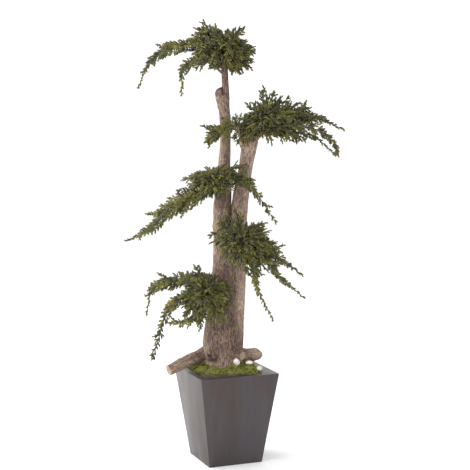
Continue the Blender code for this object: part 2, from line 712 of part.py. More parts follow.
def clear_tree(piece, by=CLEAR):
    """The faces of a piece, moved out a little, for testing what comes near it."""
    copy = swollen(piece, by)
    bm = bmesh.new()
    bm.from_mesh(copy.data)
    found = BVHTree.FromBMesh(bm)
    bm.free()
    bpy.data.objects.remove(copy, do_unlink=True)
    return found


def shoots_along(line, count, reach, dice):
    """Side plumes that leave a trail's line alternately and lean ahead."""
    made = []
    for k in range(count):
        share = SHOOT_SPAN[0] + (SHOOT_SPAN[1] - SHOOT_SPAN[0]) * k / max(count - 1, 1)
        root, ahead = along(line, share)
        beside = ahead.cross(Vector((0, 1, 0))).normalized() * (-1) ** k
        beside = Matrix.Rotation(dice.uniform(-SHOOT_ROLL, SHOOT_ROLL), 3, ahead) @ beside
        aim = ahead * math.cos(SHOOT_ANGLE) + beside * math.sin(SHOOT_ANGLE)
        length = (reach[0] + (reach[1] - reach[0]) * share) * dice.uniform(*SHOOT_LENGTH)
        length = min(length, SHOOT_LONGEST)
        tip = root + aim * length
        bend = root.lerp(tip, 0.5) + ahead * length * SHOOT_BEND
        width = (length * SHOOT_WIDTH[0], length * SHOOT_WIDTH[1])
        made.append(plume(flow([root, bend, tip], SHOOT_STEPS), 0, SHOOT_FOOT, width, SHOOT_SIDES,
                          dice)[0])
    return made


def join_mass(name, solids):
    """Fuse a mass's solids in one union and keep the one closed body."""
    base = finish(name, solids[0], LEAF, tree)
    others = [finish("operand", bm, LEAF, tree) for bm in solids[1:]]
    apply_boolean(base, "UNION", others)
    keep_largest(base)
    base.data.materials.clear()
    base.data.materials.append(LEAF)
    return base


def trail_line(trail, number):
    """A trail's line, short steps along its plume; later axes fork from the first one's foot."""
    foot, ahead = bough_tip(trail["bough"])
    start = trail["start"]
    straight = STEM_STRAIGHT if number == 0 else STEM_STRAIGHT * FORK_SHARE
    fine = flow([foot + ahead * straight] + trail["axes"][number]["through"], FINE_STEPS)
    length = sum((b - a).length for a, b in zip(fine, fine[1:]))
    steps = round(length * (1 - start) / TRAIL_PITCH)
    shares = [start * k / STEM_STEPS for k in range(STEM_STEPS)]
    shares += [start + (1 - start) * k / steps for k in range(steps + 1)]
    line = [along(fine, share)[0] for share in shares]
    return [foot] + line if number == 0 else line


# Every trail's line is laid first, so that the crowns' cores are cut clear of it
trail_lines = {
    name: [trail_line(trail, number) for number in range(len(trail["axes"]))]
    for name, trail in TRAILS.items()
}
limbs = [trunk, left_stem, right_stem, top_stem, snag, left_log, right_log, *boughs.values()]
obstacles = [clear_tree(piece) for piece in limbs]


def reach_towards(crown, aim):
    """How far a crown reaches in a direction: an ellipse between its broad side and its depth."""
    turn = (math.atan2(aim.z, aim.x) / (math.tau / 8)) % 8
    low = int(turn) % 8
    share = turn - int(turn)
    share = share * share * (3 - 2 * share)
    broad = crown["reach"][low] * (1 - share) + crown["reach"][(low + 1) % 8] * share
    deep = crown["front"] if aim.y < 0 else crown["back"]
    flat = math.hypot(aim.x, aim.z)
    return 1 / math.sqrt((flat / broad) ** 2 + (aim.y / deep) ** 2)


def crown_core(name, crown):
    """A burr-like heart: alternate points of an even grid stand out; cut clear of limbs and trails."""
    dice = random.Random(crown["seed"])
    grid = crown["grid"]
    turn = Matrix.Rotation(dice.uniform(0, math.tau), 3, Vector((dice.random(), dice.random(), 1)))
    bm = bmesh.new()
    bmesh.ops.create_cube(bm, size=2.0)
    bmesh.ops.subdivide_edges(bm, edges=bm.edges, cuts=grid - 1, use_grid_fill=True)
    standing = {
        vert for vert in bm.verts if sum(round((c + 1) * grid / 2) for c in vert.co) % 2 == 0
    }
    for face in list(bm.faces):
        bmesh.utils.face_split(face, *[vert for vert in face.verts if vert not in standing])
    for vert in bm.verts:
        even = Vector([math.tan(c * math.pi / 4) for c in vert.co]).normalized()
        stray = Vector([dice.uniform(-CROWN_STRAY, CROWN_STRAY) / grid for _ in range(3)])
        aim = (turn @ even + stray).normalized()
        share = dice.uniform(*CROWN_NEEDLES) if vert in standing else CROWN_CORE
        share *= 1 + CROWN_LUMPS * noise.noise(aim * CROWN_LUMP_SIZE + Vector((crown["seed"], 0, 0)))
        vert.co = aim * reach_towards(crown, aim) * share
        if vert in standing:
            outward = Vector((aim.x, aim.y, -CROWN_DROOP))
            vert.co += (outward - aim * outward.dot(aim)) * CROWN_LEAN
    for tip in [Vector(tip) for tip in crown["tips"]]:
        nearest = max(standing, key=lambda vert: vert.co.normalized().dot(tip.normalized()))
        standing.discard(nearest)
        nearest.co = tip
    bmesh.ops.translate(bm, verts=bm.verts, vec=crown["heart"])
    core = finish(name + "_core", bm, LEAF, tree)
    sleeves = [swollen(piece, CLEAR) for piece in limbs]
    for line in sum(trail_lines.values(), []):
        sleeve = loft(bmesh.new(), tube_rings(line, [SLEEVE_REACH] * len(line), SLEEVE_SIDES))
        sleeves.append(finish("sleeve", sleeve, LEAF, tree))
    apply_boolean(core, "DIFFERENCE", sleeves)
    keep_largest(core)
    return core


cores = {name: crown_core(name, crown) for name, crown in CROWNS.items()}
core_trees = {name: clear_tree(core) for name, core in cores.items()}
masses = {}

for name, trail in TRAILS.items():
    dice = random.Random(trail["seed"])
    around = obstacles + list(core_trees.values())
    solids = []
    for number, (axis, line) in enumerate(zip(trail["axes"], trail_lines[name])):
        bare = STEM_STEPS + (number == 0)
        foot = TWIG_FOOT * FORK_THINNER ** number
        body, middles = plume(line, bare, foot, axis["reach"], TRAIL_SIDES, dice, TRAIL_FALL)
        draw_in(body, middles, around)
        solids.append(body)
        for shoot in shoots_along(line[bare:], trail["shoots"], axis["reach"], dice):
            if hits(shoot, around):
                shoot.free()
            else:
                solids.append(shoot)
    masses[name] = join_mass(name, solids)
    obstacles.append(clear_tree(masses[name]))

for name, crown in CROWNS.items():
    dice = random.Random(crown["seed"])
    upright_foot = (Vector(crown.get("foot", (0, 0, 0))), Vector((0, 0, 1)))
    foot, ahead = bough_tip(crown["bough"]) if "bough" in crown else upright_foot
    heart = Vector(crown["heart"])
    bm = bmesh.new()
    bm.from_mesh(cores[name].data)
    bpy.data.objects.remove(cores[name], do_unlink=True)
    stalk = [foot, foot + ahead * STEM_STRAIGHT, heart]
    solids = [bm, loft(bmesh.new(), tube_rings(stalk, [STALK_FOOT] * len(stalk), STALK_SIDES))]
    around = obstacles + [found for other, found in core_trees.items() if other != name]
    for leader in crown["leaders"]:
        tip = heart + Vector(leader)
        lift = Vector((0, 0, LEADER_LIFT * (tip - heart).length))
        line = flow([heart.lerp(tip, LEADER_FOOT), heart.lerp(tip, LEADER_MIDDLE) + lift, tip], LEADER_STEPS)
        shoot = plume(line, 0, TWIG_FOOT, LEADER_REACH, SHOOT_SIDES, dice)[0]
        if hits(shoot, around):
            shoot.free()
        else:
            solids.append(shoot)
    masses[name] = join_mass(name, solids)
    core_trees[name] = clear_tree(masses[name])

# Pebbles: three white stones lying on the moss, at their place and half sizes
PEBBLE_LUMPS = 0.12
PEBBLES = {
    "pebble_1": ((0.056, -0.098), (0.017, 0.014, 0.016)),
    "pebble_2": ((0.116, -0.062), (0.019, 0.012, 0.010)),
    "pebble_3": ((0.166, 0.004), (0.014, 0.012, 0.011)),
}
moss_tree = clear_tree(moss, GAP)
for number, (name, (place, halves)) in enumerate(PEBBLES.items()):
    bm = bmesh.new()
    bmesh.ops.create_icosphere(bm, subdivisions=2, radius=1.0)
    for vert in bm.verts:
        swell = 1 + PEBBLE_LUMPS * noise.noise(vert.co * 1.4 + Vector((number * 5, 0, 0)))
        vert.co = Vector([a * b * swell for a, b in zip(vert.co, halves)])
        vert.co += Vector((*place, 2 * POT_HEIGHT))
    rays = [(vert.co.z, moss_tree.ray_cast(vert.co, Vector((0, 0, -1)))[0]) for vert in bm.verts]
    drop = min(z - hit.z for z, hit in rays if hit)
    bmesh.ops.translate(bm, verts=bm.verts, vec=(0, 0, -drop))
    while hits(bm, [moss_tree]):
        bmesh.ops.translate(bm, verts=bm.verts, vec=(0, 0, GAP / 2))
    finish(name, bm, PEBBLE, tree)
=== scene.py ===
import math
import random

import bmesh
import bpy
import numpy as np
from mathutils import Matrix, Vector, noise


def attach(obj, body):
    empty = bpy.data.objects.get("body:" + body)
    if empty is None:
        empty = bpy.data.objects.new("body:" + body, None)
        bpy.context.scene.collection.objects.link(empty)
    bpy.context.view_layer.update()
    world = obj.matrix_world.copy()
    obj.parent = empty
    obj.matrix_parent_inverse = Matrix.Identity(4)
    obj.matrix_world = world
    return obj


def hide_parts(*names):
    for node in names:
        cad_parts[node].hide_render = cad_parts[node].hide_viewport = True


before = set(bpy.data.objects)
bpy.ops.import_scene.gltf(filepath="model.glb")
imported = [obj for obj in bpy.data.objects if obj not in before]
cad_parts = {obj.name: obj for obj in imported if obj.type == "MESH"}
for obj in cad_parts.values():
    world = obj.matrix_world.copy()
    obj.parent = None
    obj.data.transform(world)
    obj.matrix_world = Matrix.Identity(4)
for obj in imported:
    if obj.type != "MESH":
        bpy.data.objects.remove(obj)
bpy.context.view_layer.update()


# Pot. A tapered square planter folded from sheet steel and welded up its four edges, with the rim
# turned in. Its brown-black patina is wiped on by hand and waxed, so it runs in soft upright clouds.
def paint(name, color, roughness, metallic=0.0):
    """A material with its plain values set on the shader, and its node tree for the rest."""
    finish = bpy.data.materials.new(name)
    finish.use_nodes = True
    shader = finish.node_tree.nodes["Principled BSDF"]
    shader.inputs["Base Color"].default_value = (*color, 1.0)
    shader.inputs["Roughness"].default_value = roughness
    shader.inputs["Metallic"].default_value = metallic
    return finish


def grain(finish, scale, detail=4.0, stretch=(1.0, 1.0, 1.0), shift=0.0, attribute=None):
    """A noise pattern on Object coordinates or a named attribute, drawn out by a Mapping node."""
    nodes, links = finish.node_tree.nodes, finish.node_tree.links
    if attribute:
        place = nodes.new("ShaderNodeAttribute")
        place.attribute_name = attribute
        start = place.outputs["Vector"]
    else:
        place = nodes.new("ShaderNodeTexCoord")
        start = place.outputs["Object"]
    mapping = nodes.new("ShaderNodeMapping")
    mapping.inputs["Location"].default_value = (shift, shift, shift)
    mapping.inputs["Scale"].default_value = stretch
    pattern = nodes.new("ShaderNodeTexNoise")
    pattern.inputs["Scale"].default_value = scale
    pattern.inputs["Detail"].default_value = detail
    links.new(start, mapping.inputs["Vector"])
    links.new(mapping.outputs["Vector"], pattern.inputs["Vector"])
    return pattern.outputs["Fac"]


def tones(finish, value, *stops):
    """A colour ramp over a value, from (place, colour) stops."""
    scale = finish.node_tree.nodes.new("ShaderNodeValToRGB")
    while len(scale.color_ramp.elements) < len(stops):
        scale.color_ramp.elements.new(0.5)
    for element, (place, color) in zip(scale.color_ramp.elements, stops):
        element.position = place
        element.color = (*color, 1.0)
    finish.node_tree.links.new(value, scale.inputs["Fac"])
    return scale.outputs["Color"]


def blend_tones(finish, first, second, share, mode="MIX"):
    """Two colours mixed by a share, which is a number or a pattern."""
    mix = finish.node_tree.nodes.new("ShaderNodeMix")
    mix.data_type = "RGBA"
    mix.blend_type = mode
    sockets = [socket for socket in mix.inputs if socket.type == "RGBA"]
    finish.node_tree.links.new(first, sockets[0])
    finish.node_tree.links.new(second, sockets[1])
    if isinstance(share, float):
        mix.inputs[0].default_value = share
    else:
        finish.node_tree.links.new(share, mix.inputs[0])
    return next(socket for socket in mix.outputs if socket.type == "RGBA")


def feed(finish, socket, value):
    """A pattern or colour led into one of the shader's sockets."""
    finish.node_tree.links.new(value, finish.node_tree.nodes["Principled BSDF"].inputs[socket])


def spread(finish, value, low, high):
    """A pattern's values mapped to a range of a plain number, such as roughness."""
    reach = finish.node_tree.nodes.new("ShaderNodeMapRange")
    reach.inputs["From Min"].default_value = 0.3
    reach.inputs["From Max"].default_value = 0.7
    reach.inputs["To Min"].default_value = low
    reach.inputs["To Max"].default_value = high
    finish.node_tree.links.new(value, reach.inputs["Value"])
    return reach.outputs["Result"]


def relief(finish, value, depth, strength=1.0):
    """Fine relief from a pattern, its depth in metres."""
    bump = finish.node_tree.nodes.new("ShaderNodeBump")
    bump.inputs["Strength"].default_value = strength
    bump.inputs["Distance"].default_value = depth
    finish.node_tree.links.new(value, bump.inputs["Height"])
    feed(finish, "Normal", bump.outputs["Normal"])


def put_in(name, data):
    """A new object in the scene, for a mesh, a light or a camera."""
    shown = bpy.data.objects.new(name, data)
    bpy.context.scene.collection.objects.link(shown)
    return shown


def piece(name, mesh, finish, slot, *replaced):
    """A mesh as an object with its material, riding on the plant. The slot is not used."""
    mesh.materials.append(finish)
    mesh.shade_smooth()
    shown = put_in(name, mesh)
    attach(shown, "root")
    if replaced:
        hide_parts(*replaced)
    return shown


def to_mesh(name, bm):
    """A finished bmesh as a mesh of its own."""
    mesh = bpy.data.meshes.new(name)
    bm.to_mesh(mesh)
    bm.free()
    return mesh


def climb(edge):
    """How far an edge goes up from one end to the other."""
    return abs(edge.verts[0].co.z - edge.verts[1].co.z)


POT_TOP, POT_FOOT, POT_HEIGHT = 0.400, 0.274, 0.446
POT_WALL, WALL_PLAY = 0.004, 0.0012
RIM_FOLD, RIM_DEPTH = 0.011, 0.010
INSIDE_DEPTH, INSIDE_TAPER = 0.035, 0.005
SEAM_ROUND, FOLD_ROUND = 0.0035, 0.0012
SHARP_FOLD, SHARP_EDGE, LEVEL, UPRIGHT = 0.8, math.radians(40), 0.001, 0.1
bm = bmesh.new()
bmesh.ops.create_cube(bm, size=1.0)
for vert in bm.verts:
    wide = POT_TOP if vert.co.z > 0 else POT_FOOT
    vert.co = (vert.co.x * wide, vert.co.y * wide, POT_HEIGHT * (vert.co.z + 0.5))
mouth = max(bm.faces, key=lambda face: face.calc_center_median().z)
bmesh.ops.inset_region(bm, faces=[mouth], thickness=RIM_FOLD)
for drop, widen in ((RIM_DEPTH, 0.0), (0.0, RIM_FOLD - POT_WALL - WALL_PLAY), (INSIDE_DEPTH, -INSIDE_TAPER)):
    shell = bmesh.ops.extrude_face_region(bm, geom=[mouth])["geom"]
    mouth = next(part for part in shell if isinstance(part, bmesh.types.BMFace))
    for vert in mouth.verts:
        side = max(abs(vert.co.x), abs(vert.co.y))
        vert.co.xy *= (side + widen) / side
        vert.co.z -= drop
seams = [edge for edge in bm.edges if climb(edge) > UPRIGHT]
bmesh.ops.bevel(bm, geom=seams, offset=SEAM_ROUND, affect="EDGES", segments=3, profile=0.5, material=-1)
folds = [edge for edge in bm.edges if edge.calc_face_angle(0.0) > SHARP_FOLD and climb(edge) < LEVEL
         and not LEVEL <= edge.verts[0].co.z <= POT_HEIGHT - LEVEL]
bmesh.ops.bevel(bm, geom=folds, offset=FOLD_ROUND, affect="EDGES", segments=2, profile=0.5, material=-1)
bmesh.ops.recalc_face_normals(bm, faces=bm.faces)
patina = paint("waxed_patina", (0.09, 0.078, 0.078), 0.36, 0.60)
clouds = tones(patina, grain(patina, 4.2, 5.0, (1.0, 1.0, 0.45)), (0.36, (0.072, 0.054, 0.048)),
               (0.50, (0.074, 0.062, 0.061)), (0.64, (0.079, 0.071, 0.077)))
streaks = tones(patina, grain(patina, 34.0, 6.0, (1.0, 1.0, 0.05), 2.0),
                (0.35, (0.88, 0.87, 0.87)), (0.65, (1.0, 0.99, 0.99)))
feed(patina, "Base Color", blend_tones(patina, clouds, streaks, 1.0, "MULTIPLY"))
feed(patina, "Roughness", spread(patina, grain(patina, 14.0, 5.0, (1.0, 1.0, 0.3), 5.0), 0.30, 0.44))
relief(patina, grain(patina, 160.0, 3.0), 0.0002, 0.5)
pot = piece("pot_sheet", to_mesh("pot_sheet", bm), patina, "metal", "pot")
pot.data.set_sharp_from_angle(angle=SHARP_EDGE)


# Planting fill. A set mineral mix, dark and rough, which holds the trunk and is seen only where the
# moss has shrunk from the pot's wall. Its solid has the right shape and takes its finish here.
def mottle(finish, scale, detail, *stops):
    """A finish's colour as tones over a grain."""
    feed(finish, "Base Color", tones(finish, grain(finish, scale, detail), *stops))


packed = paint("packed_fill", (0.055, 0.040, 0.028), 0.95)
mottle(packed, 180.0, 6.0, (0.3, (0.020, 0.014, 0.010)), (0.6, (0.075, 0.055, 0.038)),
       (0.75, (0.16, 0.13, 0.10)))
relief(packed, grain(packed, 220.0, 6.0), 0.002)
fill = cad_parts["fill"]
fill.data.materials.clear()
fill.data.materials.append(packed)


# Trunk and stems. One natural juniper log, cut flat and set in the fill, whose two stems have grown
# together up to a groove. Its bark is grey-brown and shreddy, in long strips that part in narrow
# furrows, which are darkened with painted shade.
PLANT_TURN = Matrix.Rotation(math.radians(-21.9), 4, "Z")
FORK = 1.250
# Each station along the wood has its height, the place of its middle from left to right and from
# front to back, and its radius.
TRUNK = (
    (0.4003, -0.009, 0, 0.091), (0.5, -0.012, 0, 0.092), (0.575, -0.016, 0.002, 0.102),
    (0.67, -0.009, 0.005, 0.095), (0.81, 0.009, 0.006, 0.0855), (0.98, 0.019, 0.003, 0.082),
    (1.13, 0.021, 0, 0.081), (FORK, 0.0255, 0, 0.084))
LEFT_STEM = (
    (1.06, -0.014, 0, 0.0345), (1.15, -0.02, 0, 0.046), (FORK, -0.017, 0, 0.0435),
    (1.33, -0.008, 0.006, 0.038), (1.42, -0.007, 0.011, 0.032), (1.52, -0.003, 0.01, 0.027),
    (1.62, -0.001, 0.006, 0.0255), (1.7, -0.004, 0.002, 0.0275), (1.765, -0.012, 0, 0.03),
    (1.78, -0.012, 0, 0.018))
RIGHT_STEM = (
    (1.06, 0.058, 0, 0.0345), (1.15, 0.062, 0, 0.0395), (FORK, 0.067, 0, 0.0402),
    (1.33, 0.08, 0.001, 0.0382), (1.39, 0.092, -0.003, 0.0345), (1.45, 0.101, -0.006, 0.034),
    (1.52, 0.111, -0.006, 0.038), (1.556, 0.114, -0.005, 0.044), (1.575, 0.116, -0.004, 0.03))
TOP_STEM = (
    (1.69, 0, 0.002, 0.02), (1.765, 0.003, 0.002, 0.0185), (1.82, 0, 0.003, 0.0165),
    (1.93, -0.006, 0.002, 0.0165), (1.96, -0.004, 0.001, 0.01))
SNAG = (
    (1.715, -0.018, 0, 0.0185), (1.765, -0.029, -0.001, 0.0182), (1.79, -0.032, -0.002, 0.0182),
    (1.804, -0.03, -0.002, 0.0168), (1.813, -0.028, -0.002, 0.0135), (1.817, -0.027, -0.002, 0.0085))
SNAG_SLOPE = 0.35
BURL, BURL_HALVES = Vector((-0.062, -0.082, 0.543)), (0.024, 0.046)
BURL_FOLD, BURL_LIP, BURL_SWELL = 0.503, 0.014, 0.017
FOLD_HALVES, FOLD_DEPTH = (0.022, 0.007), 0.003
BURL_EYE, EYE_SIZE, EYE_DEPTH = Vector((-0.0755, -0.080, 0.5265)), 0.0065, 0.014
FLARE_HEIGHT, FLARE_LOBES = 0.20, 0.05
GROOVE_FROM, GROOVE_OVER = 0.88, 0.34
LOBE, LOBE_REACH = 0.488, 0.50
TRUNK_RIBS, TRUNK_SWELLS = 0.022, 0.035
RAGGED_TOP, RAGGED_STEP = 1.155, 0.09
TRUNK_GRID, TRUNK_SCALES = (250, 310), (0.0066, 0.0034)
# Where the trunk's bark changes its tone, by height and from left to right, and where painted
# shade darkens the groove between its stems.
PALER_FROM, TAN_BELOW, TAN_LEFT, TAN_FOOT = 0.66, 0.56, -0.055, 0.500
LEFT_STRIP, LEFT_STRIP_TOP, RIGHT_STRIP, RIGHT_STRIP_FOOT = -0.086, 0.62, 0.045, 0.58
GROOVE_SHADE_LINE, GROOVE_SHADE_HALF, GROOVE_SHADE_FOOT = 0.014, 0.014, 1.08


def ramp(past, over):
    """How far a change has gone, from 0 to 1: the distance past its start, over its length."""
    return min(max(past / over, 0.0), 1.0)


def ease(share):
    """The same share, starting and ending slowly."""
    return share * share * (3 - 2 * share)


def part_way(low, high, share):
    """The number at a share of the way from a low one to a high one."""
    return low + (high - low) * share


def swelling(angle, height, fineness=1.0):
    """Soft unevenness of a limb, the same wherever its skin closes on itself."""
    return noise.noise(Vector((math.cos(angle) * fineness, math.sin(angle) * fineness, height)))


def between(stations, z):
    """Middle and radius at height z, smoothly between the stations above and below."""
    z = min(max(z, stations[0][0]), stations[-1][0])
    for low, high in zip(stations, stations[1:]):
        if z <= high[0]:
            share = (z - low[0]) / (high[0] - low[0])
            return [part_way(a, b, share) for a, b in zip(low[1:], high[1:])]


def furrows(place, strip, depth, seed):
    """Height of the bark at a place on a limb: short flat scales that part in fine furrows."""
    x, y, run = place
    drift = 0.010 * noise.noise(Vector((x * 14, y * 14, run * 9 + seed)))
    coarse = noise.noise(Vector(((x + drift) / strip, (y + drift) / strip, run / strip / 2.6 + seed)))
    fine = noise.noise(Vector((x / strip * 1.9, y / strip * 1.9, run / strip / 1.3 + seed)))
    flakes = noise.noise(Vector((x / strip * 0.8, y / strip * 0.8, run / strip / 1.1 - seed)))
    cut = min(1.0, abs(coarse) * 4.6)
    nick = min(1.0, abs(fine) * 3.6)
    return -depth * (0.44 * (1 - cut) + 0.32 * (1 - nick) + 0.24 * (0.5 - flakes))


def planted(name, bm):
    """A finished bmesh, turned the way that the tree faces in its pot, as a mesh."""
    bmesh.ops.transform(bm, matrix=PLANT_TURN, verts=bm.verts)
    return to_mesh(name, bm)


def wood_mesh(name, shape, grid, scales, seed, look):
    """Bark over a limb: a grid rolled round the limb's shape, its furrows cut in, its ends filled.
    The grid's counts run round and along the limb, and the bark's scales have a width and a depth.
    Each place also keeps its painted shade, darker the deeper it lies, with the look's darkness added,
    how pale it is, and where it lies along the fibres."""
    strip, depth = scales
    bm = bmesh.new()
    bmesh.ops.create_grid(bm, x_segments=grid[0], y_segments=grid[1], size=0.5)
    painted_shade_and_dark = bm.verts.layers.float.new("painted_shade_and_dark")
    strand = bm.verts.layers.float_vector.new("strand")
    pale = bm.verts.layers.float.new("pale")
    for vert in bm.verts:
        angle = math.tau * (vert.co.x + 0.5)
        point, outward, radius, run = shape(angle, vert.co.y + 0.5)
        place = Vector((radius * math.cos(angle), radius * math.sin(angle), run))
        paleness, darkness, relief_share = look(point)
        sunk = furrows(place, strip, depth, seed) * relief_share
        # Painted shade: the deeper a place lies in a furrow, the darker it is painted; the look's darkness
        # adds to it.
        vert[painted_shade_and_dark] = -sunk / depth + darkness
        vert[strand] = place
        vert.co = point + outward * sunk
        vert[pale] = paleness + 0.32 * noise.noise(vert.co * 9 + Vector((0, 0, seed)))
    bmesh.ops.remove_doubles(bm, verts=bm.verts, dist=0.00001)
    open_edges = [edge for edge in bm.edges if edge.is_boundary]
    bmesh.ops.holes_fill(bm, edges=open_edges, sides=0)
    bmesh.ops.recalc_face_normals(bm, faces=bm.faces)
    return planted(name, bm)


def burl_marks(point):
    """How much a place on the trunk belongs to the burl in front, to its eye and to the fold under it."""
    if point.y > 0:
        return 0.0, 0.0, 0.0
    off = point - BURL
    round_it = (off.x / BURL_HALVES[0]) ** 2 + (off.z / BURL_HALVES[1]) ** 2
    swollen = math.exp(-round_it * round_it) * ramp(point.z - BURL_FOLD, BURL_LIP)
    eye = math.exp(-((point.x - BURL_EYE.x) ** 2 + (point.z - BURL_EYE.z) ** 2) / EYE_SIZE ** 2)
    under = math.exp(-(off.x / FOLD_HALVES[0]) ** 2 - ((point.z - BURL_FOLD) / FOLD_HALVES[1]) ** 2)
    return swollen, eye, under


def trunk_shape(angle, share):
    """The trunk's skin: a flared foot, ribs, two lobes with a groove between them above, the burl,
    and a ragged line near the top where its bark steps in and the stems come out."""
    z = part_way(TRUNK[0][0], FORK, share)
    x, y, radius = between(TRUNK, z)
    grooved = ease(ramp(z - GROOVE_FROM, GROOVE_OVER))
    flare = max(0.0, 1 - (z - TRUNK[0][0]) / FLARE_HEIGHT)
    lobes = LOBE * abs(math.cos(angle)) + math.sqrt(LOBE_REACH ** 2 - (LOBE * math.sin(angle)) ** 2)
    form = 1 + (lobes - 1) * grooved
    form *= 1 + TRUNK_RIBS * math.sin(5 * angle + 2.0 * z) * (1 - grooved)
    form *= 1 + FLARE_LOBES * flare * flare * math.cos(3 * angle + 0.6)
    form *= 1 + TRUNK_SWELLS * swelling(angle, z * 6, 1.6)
    ragged = RAGGED_TOP + 0.05 * swelling(angle, 2.0, 3)
    form *= 1 - RAGGED_STEP * ramp(z - ragged, 0.05)
    outward = Vector((math.cos(angle), math.sin(angle), 0))
    point = Vector((x, y, z)) + outward * radius * form
    swollen, eye, under = burl_marks(point)
    point += outward * (BURL_SWELL * swollen - EYE_DEPTH * eye - FOLD_DEPTH * under)
    return point, outward, radius * form, z


def trunk_look(point):
    """Paleness, darkness and relief of the trunk's bark: tan at the foot and left of the burl, dark
    and mauve above, paler up the trunk and on its right, smooth on the burl, with painted shade
    in the groove and in the burl's eye and a painted shadow in the fold under the burl."""
    swollen, eye, under = burl_marks(point)
    up = ramp(point.z - PALER_FROM, 0.60)
    foot = ramp(TAN_BELOW - point.z, 0.06) * ramp(point.x - TAN_LEFT, 0.03)
    foot = max(foot, ramp(TAN_FOOT - point.z, 0.014))
    left = ramp(LEFT_STRIP - point.x, 0.010) * ramp(LEFT_STRIP_TOP - point.z, 0.06)
    right = ramp(point.x - RIGHT_STRIP, 0.025) * ramp(point.z - RIGHT_STRIP_FOOT, 0.10)
    # Painted shade down the groove between the stems.
    groove_shade = math.exp(-((point.x - GROOVE_SHADE_LINE) / GROOVE_SHADE_HALF) ** 2) * ramp(point.z - GROOVE_SHADE_FOOT, 0.08)
    paleness = 0.04 + 0.62 * up + 0.76 * foot + 0.72 * right + 0.50 * left
    # Painted shade in the eye's pit and the groove, a painted shadow in the fold under the burl; the burl's
    # mauve is its own tone.
    darkness = 1.5 * eye + 0.42 * under + 0.36 * swollen + 0.30 * groove_shade
    return paleness * (1 - swollen), darkness, 1 - 0.7 * swollen


def stem_shape(stations, slope):
    """The skin of a standing stem, a little ribbed; the slope tips its end down to the left."""
    def shape(angle, share):
        z = part_way(stations[0][0], stations[-1][0], share)
        x, y, radius = between(stations, z)
        swell = 1 + 0.05 * math.sin(3 * angle + 17 * z)
        swell += 0.06 * swelling(angle, z * 14)
        outward = Vector((math.cos(angle), math.sin(angle), 0))
        point = Vector((x, y, z)) + outward * radius * swell
        point.z += slope * (point.x - x) * share ** 4
        return point, outward, radius * swell, z
    return shape


def stored(finish, name):
    """A number that the mesh keeps for each place, under a name."""
    place = finish.node_tree.nodes.new("ShaderNodeAttribute")
    place.attribute_name = name
    return place.outputs["Fac"]


bark = paint("shreddy_bark", (0.20, 0.15, 0.12), 0.92)
fibres = grain(bark, 190.0, 6.0, (1.0, 1.0, 0.26), 0.0, "strand")
weathered = tones(bark, fibres, (0.30, (0.215, 0.160, 0.128)), (0.45, (0.360, 0.283, 0.226)),
                  (0.58, (0.500, 0.404, 0.322)), (0.72, (0.68, 0.57, 0.46)))
shaded = tones(bark, fibres, (0.30, (0.047, 0.030, 0.026)), (0.45, (0.106, 0.071, 0.058)),
               (0.58, (0.195, 0.138, 0.101)), (0.72, (0.380, 0.290, 0.200)))
patches = tones(bark, grain(bark, 42.0, 5.0, (1.0, 1.0, 0.60), 4.0, "strand"), (0.34, (0.66, 0.57, 0.60)),
                (0.50, (0.95, 0.89, 0.88)), (0.66, (1.0, 0.97, 0.88)))
# Painted shade: the bark is darkened by its stored depth and darkness, down to near black in the burl's eye.
shade = tones(bark, stored(bark, "painted_shade_and_dark"), (0.12, (1.0, 1.0, 1.0)), (0.42, (0.80, 0.76, 0.74)),
              (0.74, (0.46, 0.41, 0.39)), (1.0, (0.12, 0.10, 0.10)))
# The pale share mixes the bark's two tones; on the stems it also carries painted shade under the middle
# crown.
skin = blend_tones(bark, shaded, weathered, stored(bark, "pale"))
skin = blend_tones(bark, skin, patches, 1.0, "MULTIPLY")
feed(bark, "Base Color", blend_tones(bark, skin, shade, 1.0, "MULTIPLY"))
relief(bark, grain(bark, 300.0, 5.0, (1.0, 1.0, 0.3), 1.0, "strand"), 0.0012, 0.8)


def bark_piece(node, shape, grid, scales, seed, look):
    """The bark over one of the plant's pieces of wood."""
    name = node + "_bark"
    piece(name, wood_mesh(name, shape, grid, scales, seed, look), bark, "bark", node)


bark_piece("trunk", trunk_shape, TRUNK_GRID, TRUNK_SCALES, 3.0, trunk_look)
# Each stem's stations, the slope of its end, its grid, its bark's scales and seed, and its paleness
# below and above the height where the left stem turns darker.
STEM_BARK = {
    "left_stem": (LEFT_STEM, 0.0, (110, 250), (0.0052, 0.0019), 7.0, 0.66, 0.40),
    "right_stem": (RIGHT_STEM, 0.0, (116, 180), (0.0052, 0.0019), 11.0, 1.15, 1.15),
    "top_stem": (TOP_STEM, 0.0, (64, 110), (0.0056, 0.0016), 13.0, 0.16, 0.16),
    "snag": (SNAG, SNAG_SLOPE, (56, 60), (0.0056, 0.0016), 17.0, 0.62, 0.62),
}
# The first is where a stem's tone turns; the others bound the painted shade and painted shadow under the
# middle crown.
TONE_TURNS, SHADED_BELOW, PAINTED_SHADOW_FROM_X, PAINTED_SHADOW_TOP = 1.60, 1.26, -0.004, 1.33
TORN_FROM, SNAG_LEFT, SNAG_LOW = 1.796, -0.040, 1.760


